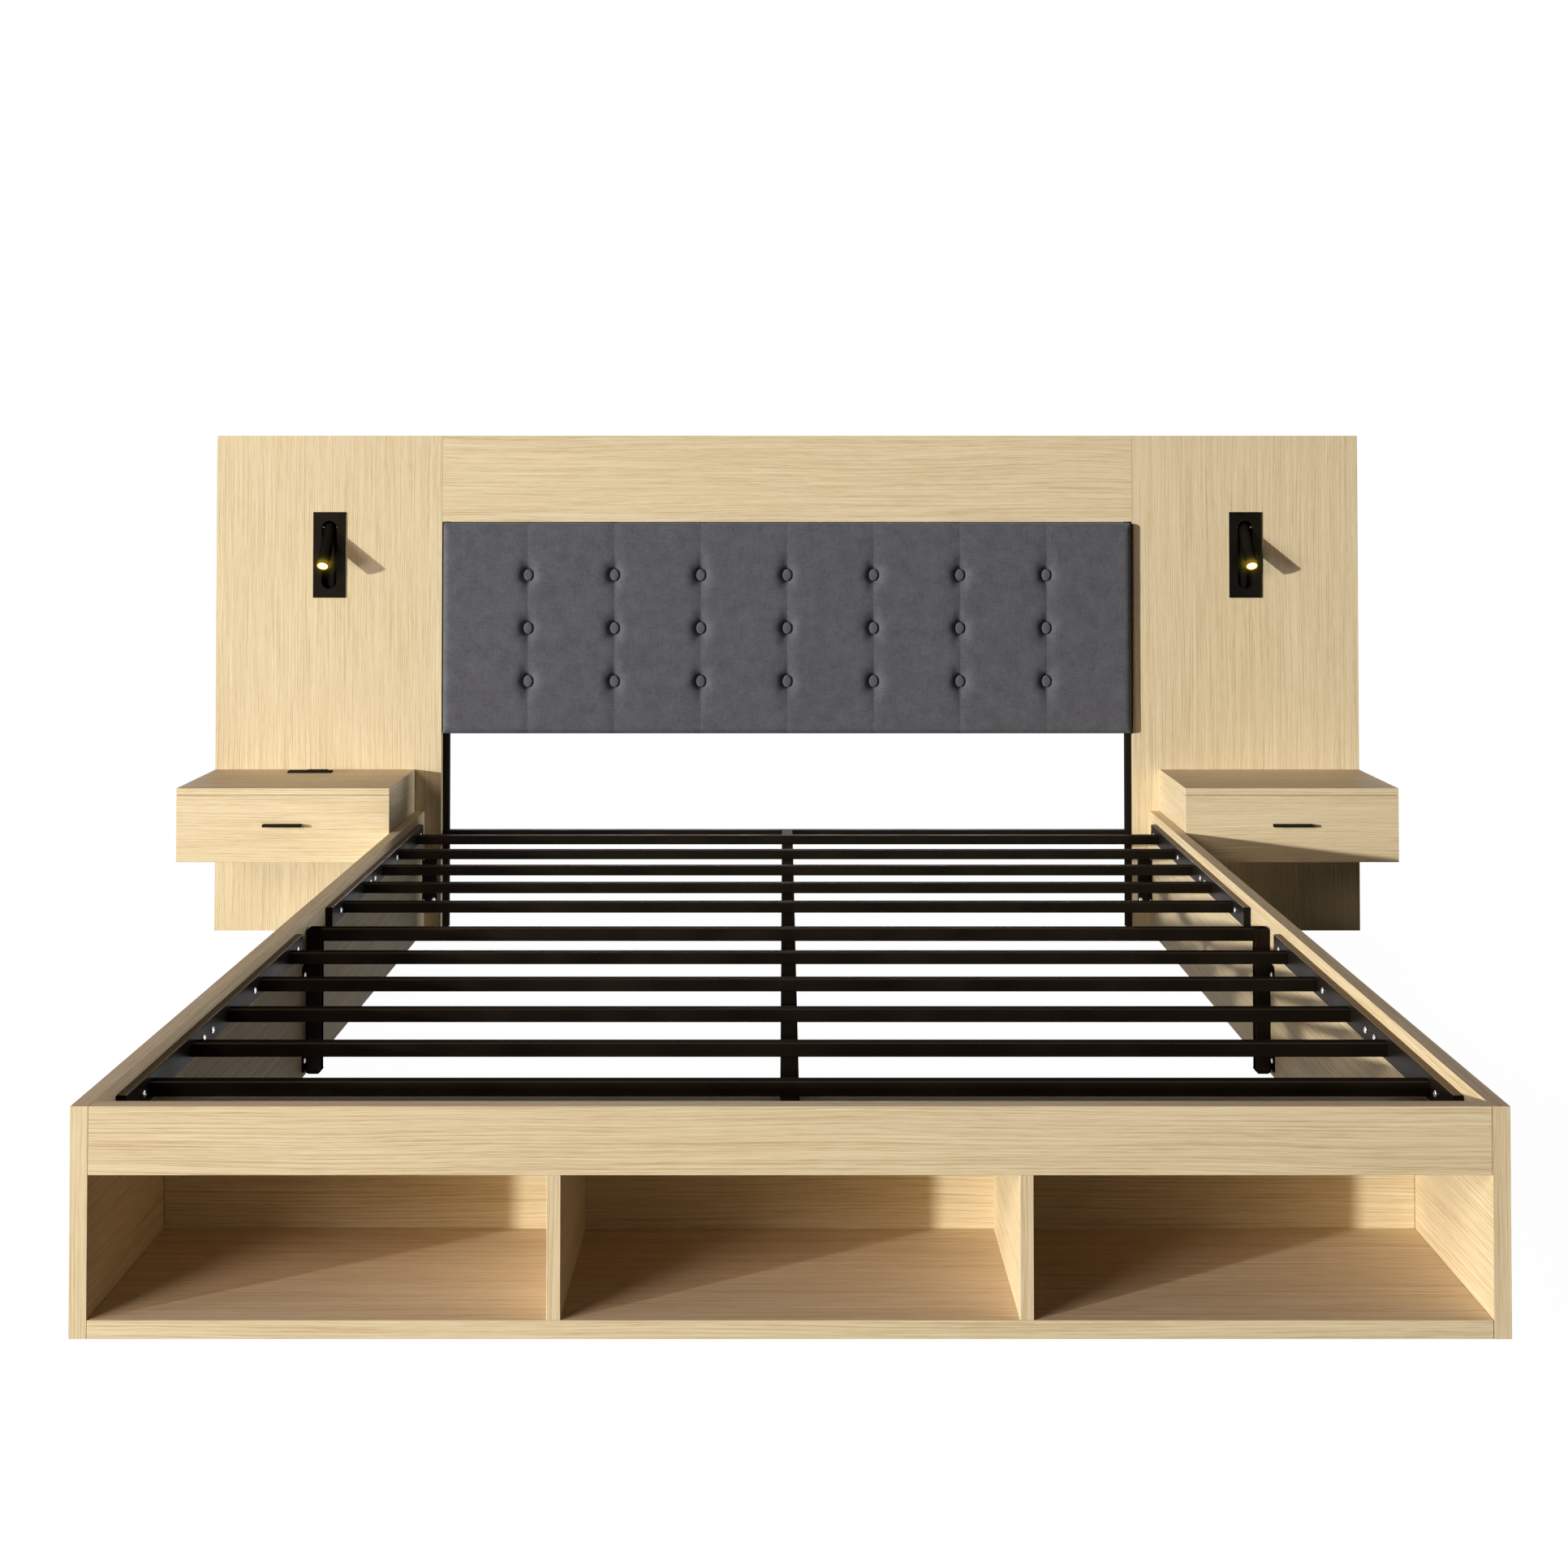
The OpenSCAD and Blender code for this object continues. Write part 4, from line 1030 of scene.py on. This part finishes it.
def ease_edges(node, width):
    """Rounds the sharp edges of a node a little, as a real board or tube has them."""
    node.modifiers.new("join", "WELD").merge_threshold = SEAM
    flat = node.modifiers.new("flat", "DECIMATE")
    flat.decimate_type = "DISSOLVE"
    flat.angle_limit = math.radians(FLAT_ANGLE_DEG)
    bevel = node.modifiers.new("ease", "BEVEL")
    bevel.width = width
    bevel.segments = 2
    bevel.limit_method = "ANGLE"
    bevel.angle_limit = math.radians(SHARP_ANGLE_DEG)
    even = node.modifiers.new("even", "WEIGHTED_NORMAL")
    even.weight = 100
    even.keep_sharp = False


def slot_finishes():
    """Finish of each material slot but the oak's."""
    return {
        "drawer_board": plain_board(
            "drawer_board_look", dark=(0.62, 0.50, 0.33), light=(0.78, 0.67, 0.48), specks=(14, 90, 90)
        ),
        "backing_board": plain_board(
            "backing_board_look", dark=(0.20, 0.125, 0.07), light=(0.33, 0.22, 0.13), specks=60
        ),
        "grey_fabric": linen("linen_look"),
        # The steel's top faces get a lighter painted highlight
        "black_steel": coated("steel_look", STEEL, roughness=0.40, peel=900, painted_top_light=(0.050, 0.039, 0.029)),
        "black_plastic": coated("plastic_look", PLASTIC, roughness=0.55, peel=1400, metal=0.3),
        "zinc_fastener": zinc("zinc_look", BRIGHT_ZINC, roughness=0.30),
        "runner_steel": zinc("runner_look", DULL_ZINC, roughness=0.34),
        "handle_black": coated("handle_look", HANDLE_BLACK, roughness=0.40, peel=1200),
        "charger_black": coated("charger_look", CHARGER_BLACK, roughness=0.34, peel=1500, metal=0.6),
        # Painted glow of the lens's light on the lamp's head
        "lamp_black": coated("lamp_look", LAMP_BLACK, roughness=0.34, peel=1500, glow="head"),
        "lamp_glow": lamp_light("glow_look"),
    }


def own_finishes():
    """Finish of the nodes whose names start so, in place of their slot's."""
    # The recess and the plate carry the lens's painted glow
    recess = {"metal": 0.3, "sheen": 0.6, "level": 0.2, "glow": "behind"}
    # The rails' top faces get a brown painted highlight
    rail = {"metal": 0.3, "sheen": 0.12, "level": 0.05, "painted_top_light": (0.200, 0.135, 0.075)}
    return {
        "lamp_recess": coated("recess_look", RECESS_BLACK, roughness=0.22, peel=1500, **recess),
        "lamp_plate": coated("plate_look", LAMP_BLACK, roughness=0.34, peel=1500, glow="behind"),
        "slat_rail": coated("rail_look", STEEL, roughness=0.36, peel=900, **rail),
    }


def dress_nodes():
    group = oak_grain()
    finishes = slot_finishes()
    own = own_finishes()
    boards = {name: step for step, name in enumerate(BOARD_GRAIN, 1)}
    for name, node in NODES.items():
        slot = node.data.materials[0].name
        if name in boards:
            shift = tuple(boards[name] * part for part in BOARD_SHIFT)
            look = oak(name + "_oak", BOARD_GRAIN[name], shift, group)
        else:
            look = next((own[start] for start in own if name.startswith(start)), finishes[slot])
        node.material_slots[0].link = "OBJECT"
        node.material_slots[0].material = look
        if slot in EDGE_ROUND:
            ease_edges(node, EDGE_ROUND[slot])
    return finishes


# ---- Stage ----


def make_camera():
    data = bpy.data.cameras.new("camera")
    data.sensor_width = SENSOR_MM
    data.lens = SENSOR_MM * FOCAL_PX / PHOTO_PX
    data.shift_y = (PRINCIPAL_ROW_PX - PHOTO_PX / 2) / PHOTO_PX
    data.clip_end = FARTHEST_SEEN
    camera = bpy.data.objects.new("camera", data)
    camera.location = CAMERA_PLACE
    camera.rotation_euler = (math.radians(90 + CAMERA_PITCH_DEG), 0.0, 0.0)
    bpy.context.scene.collection.objects.link(camera)
    bpy.context.scene.camera = camera


def hang_light(name, kind, size, level, direction):
    """Light whose level is a colour that may be over 1."""
    data = bpy.data.lights.new(name, kind)
    brightest = max(level)
    data.color = tuple(part / brightest for part in level)
    if kind == "SUN":
        data.angle = size
        data.energy = brightest * math.pi
    else:
        data.shape = "DISK"
        data.size = size
        data.energy = brightest * math.pi**2 * direction.length_squared
    light = bpy.data.objects.new(name, data)
    light.rotation_mode = "QUATERNION"
    light.rotation_quaternion = direction.to_track_quat("-Z", "Y")
    light.visible_camera = False
    bpy.context.scene.collection.objects.link(light)
    return light


def make_lights():
    for name, (direction, spread, level) in SUNS.items():
        hang_light(name, "SUN", math.radians(spread), level, Vector(direction))
    for name, (place, aim, size, level) in BOXES.items():
        lamp = hang_light(name, "AREA", size, level, Vector(aim) - Vector(place))
        lamp.location = place


def seen_directly(graph):
    """1 for rays that show the background: the camera's, and those in gloss and glass."""
    ray = graph.add("ShaderNodeLightPath").outputs
    mirrored = graph.math("ADD", ray["Is Glossy Ray"], ray["Is Transmission Ray"])
    return graph.math("ADD", ray["Is Camera Ray"], mirrored, clamp=True)


def make_world():
    world = bpy.data.worlds.new("studio")
    bpy.context.scene.world = world
    world.use_nodes = True
    g = Graph(world.node_tree)
    g.nodes.clear()
    shown = g.add("ShaderNodeBackground", Color=WHITE, Strength=1.0)
    lit = g.add("ShaderNodeBackground", Color=WHITE, Strength=AMBIENT_LEVEL)
    both = g.add("ShaderNodeMixShader")
    surface = g.fill(both, (seen_directly(g), lit.outputs[0], shown.outputs[0]))
    g.add("ShaderNodeOutputWorld", Surface=surface)


def make_floor():
    sides = (-FLOOR_REACH, FLOOR_REACH)
    points = [(x, y, -FLOOR_DROP) for x in sides for y in sides]
    mesh = make_mesh("floor", points, [(0, 2, 3, 1)])
    material, g = new_material("floor_look")
    cloth = g.add("ShaderNodeBsdfDiffuse", Color=(FLOOR_GREY, FLOOR_GREY, FLOOR_GREY, 1.0))
    glow = g.add("ShaderNodeEmission", Strength=g.math("MULTIPLY", seen_directly(g), FLOOR_SHOWN))
    surface = g.fill(g.add("ShaderNodeAddShader"), (cloth.outputs[0], glow.outputs[0]))
    g.add("ShaderNodeOutputMaterial", Surface=surface)
    floor = link("floor", mesh, material)


# ---- The scene ----

make_camera()
make_world()
make_lights()
make_floor()
looks = dress_nodes()

form = Pad()
pad = link("padded_cover", pad_mesh(form), looks["grey_fabric"])
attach(pad, "bed")
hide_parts("padded_panel")

buttons = link("covered_buttons", button_mesh(form), looks["grey_fabric"])
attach(buttons, "bed")
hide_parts("tuft_buttons")

hem_plane, hem_parts = hem_runs()
hem = link("cover_hem", hem_mesh(hem_plane, hem_parts), looks["grey_fabric"])
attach(hem, "bed")
staples = link("hem_staples", staple_mesh(hem_plane, hem_parts), looks["zinc_fastener"])
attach(staples, "bed")

for name in ("rail_screws", "bracket_screws", "panel_screws", "nightstand_bolts"):
    screws = link("domed_" + name, screw_mesh("domed_" + name, NODES[name]), looks["zinc_fastener"])
    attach(screws, "bed")
    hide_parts(name)

bpy.context.scene.view_settings.view_transform = "Standard"
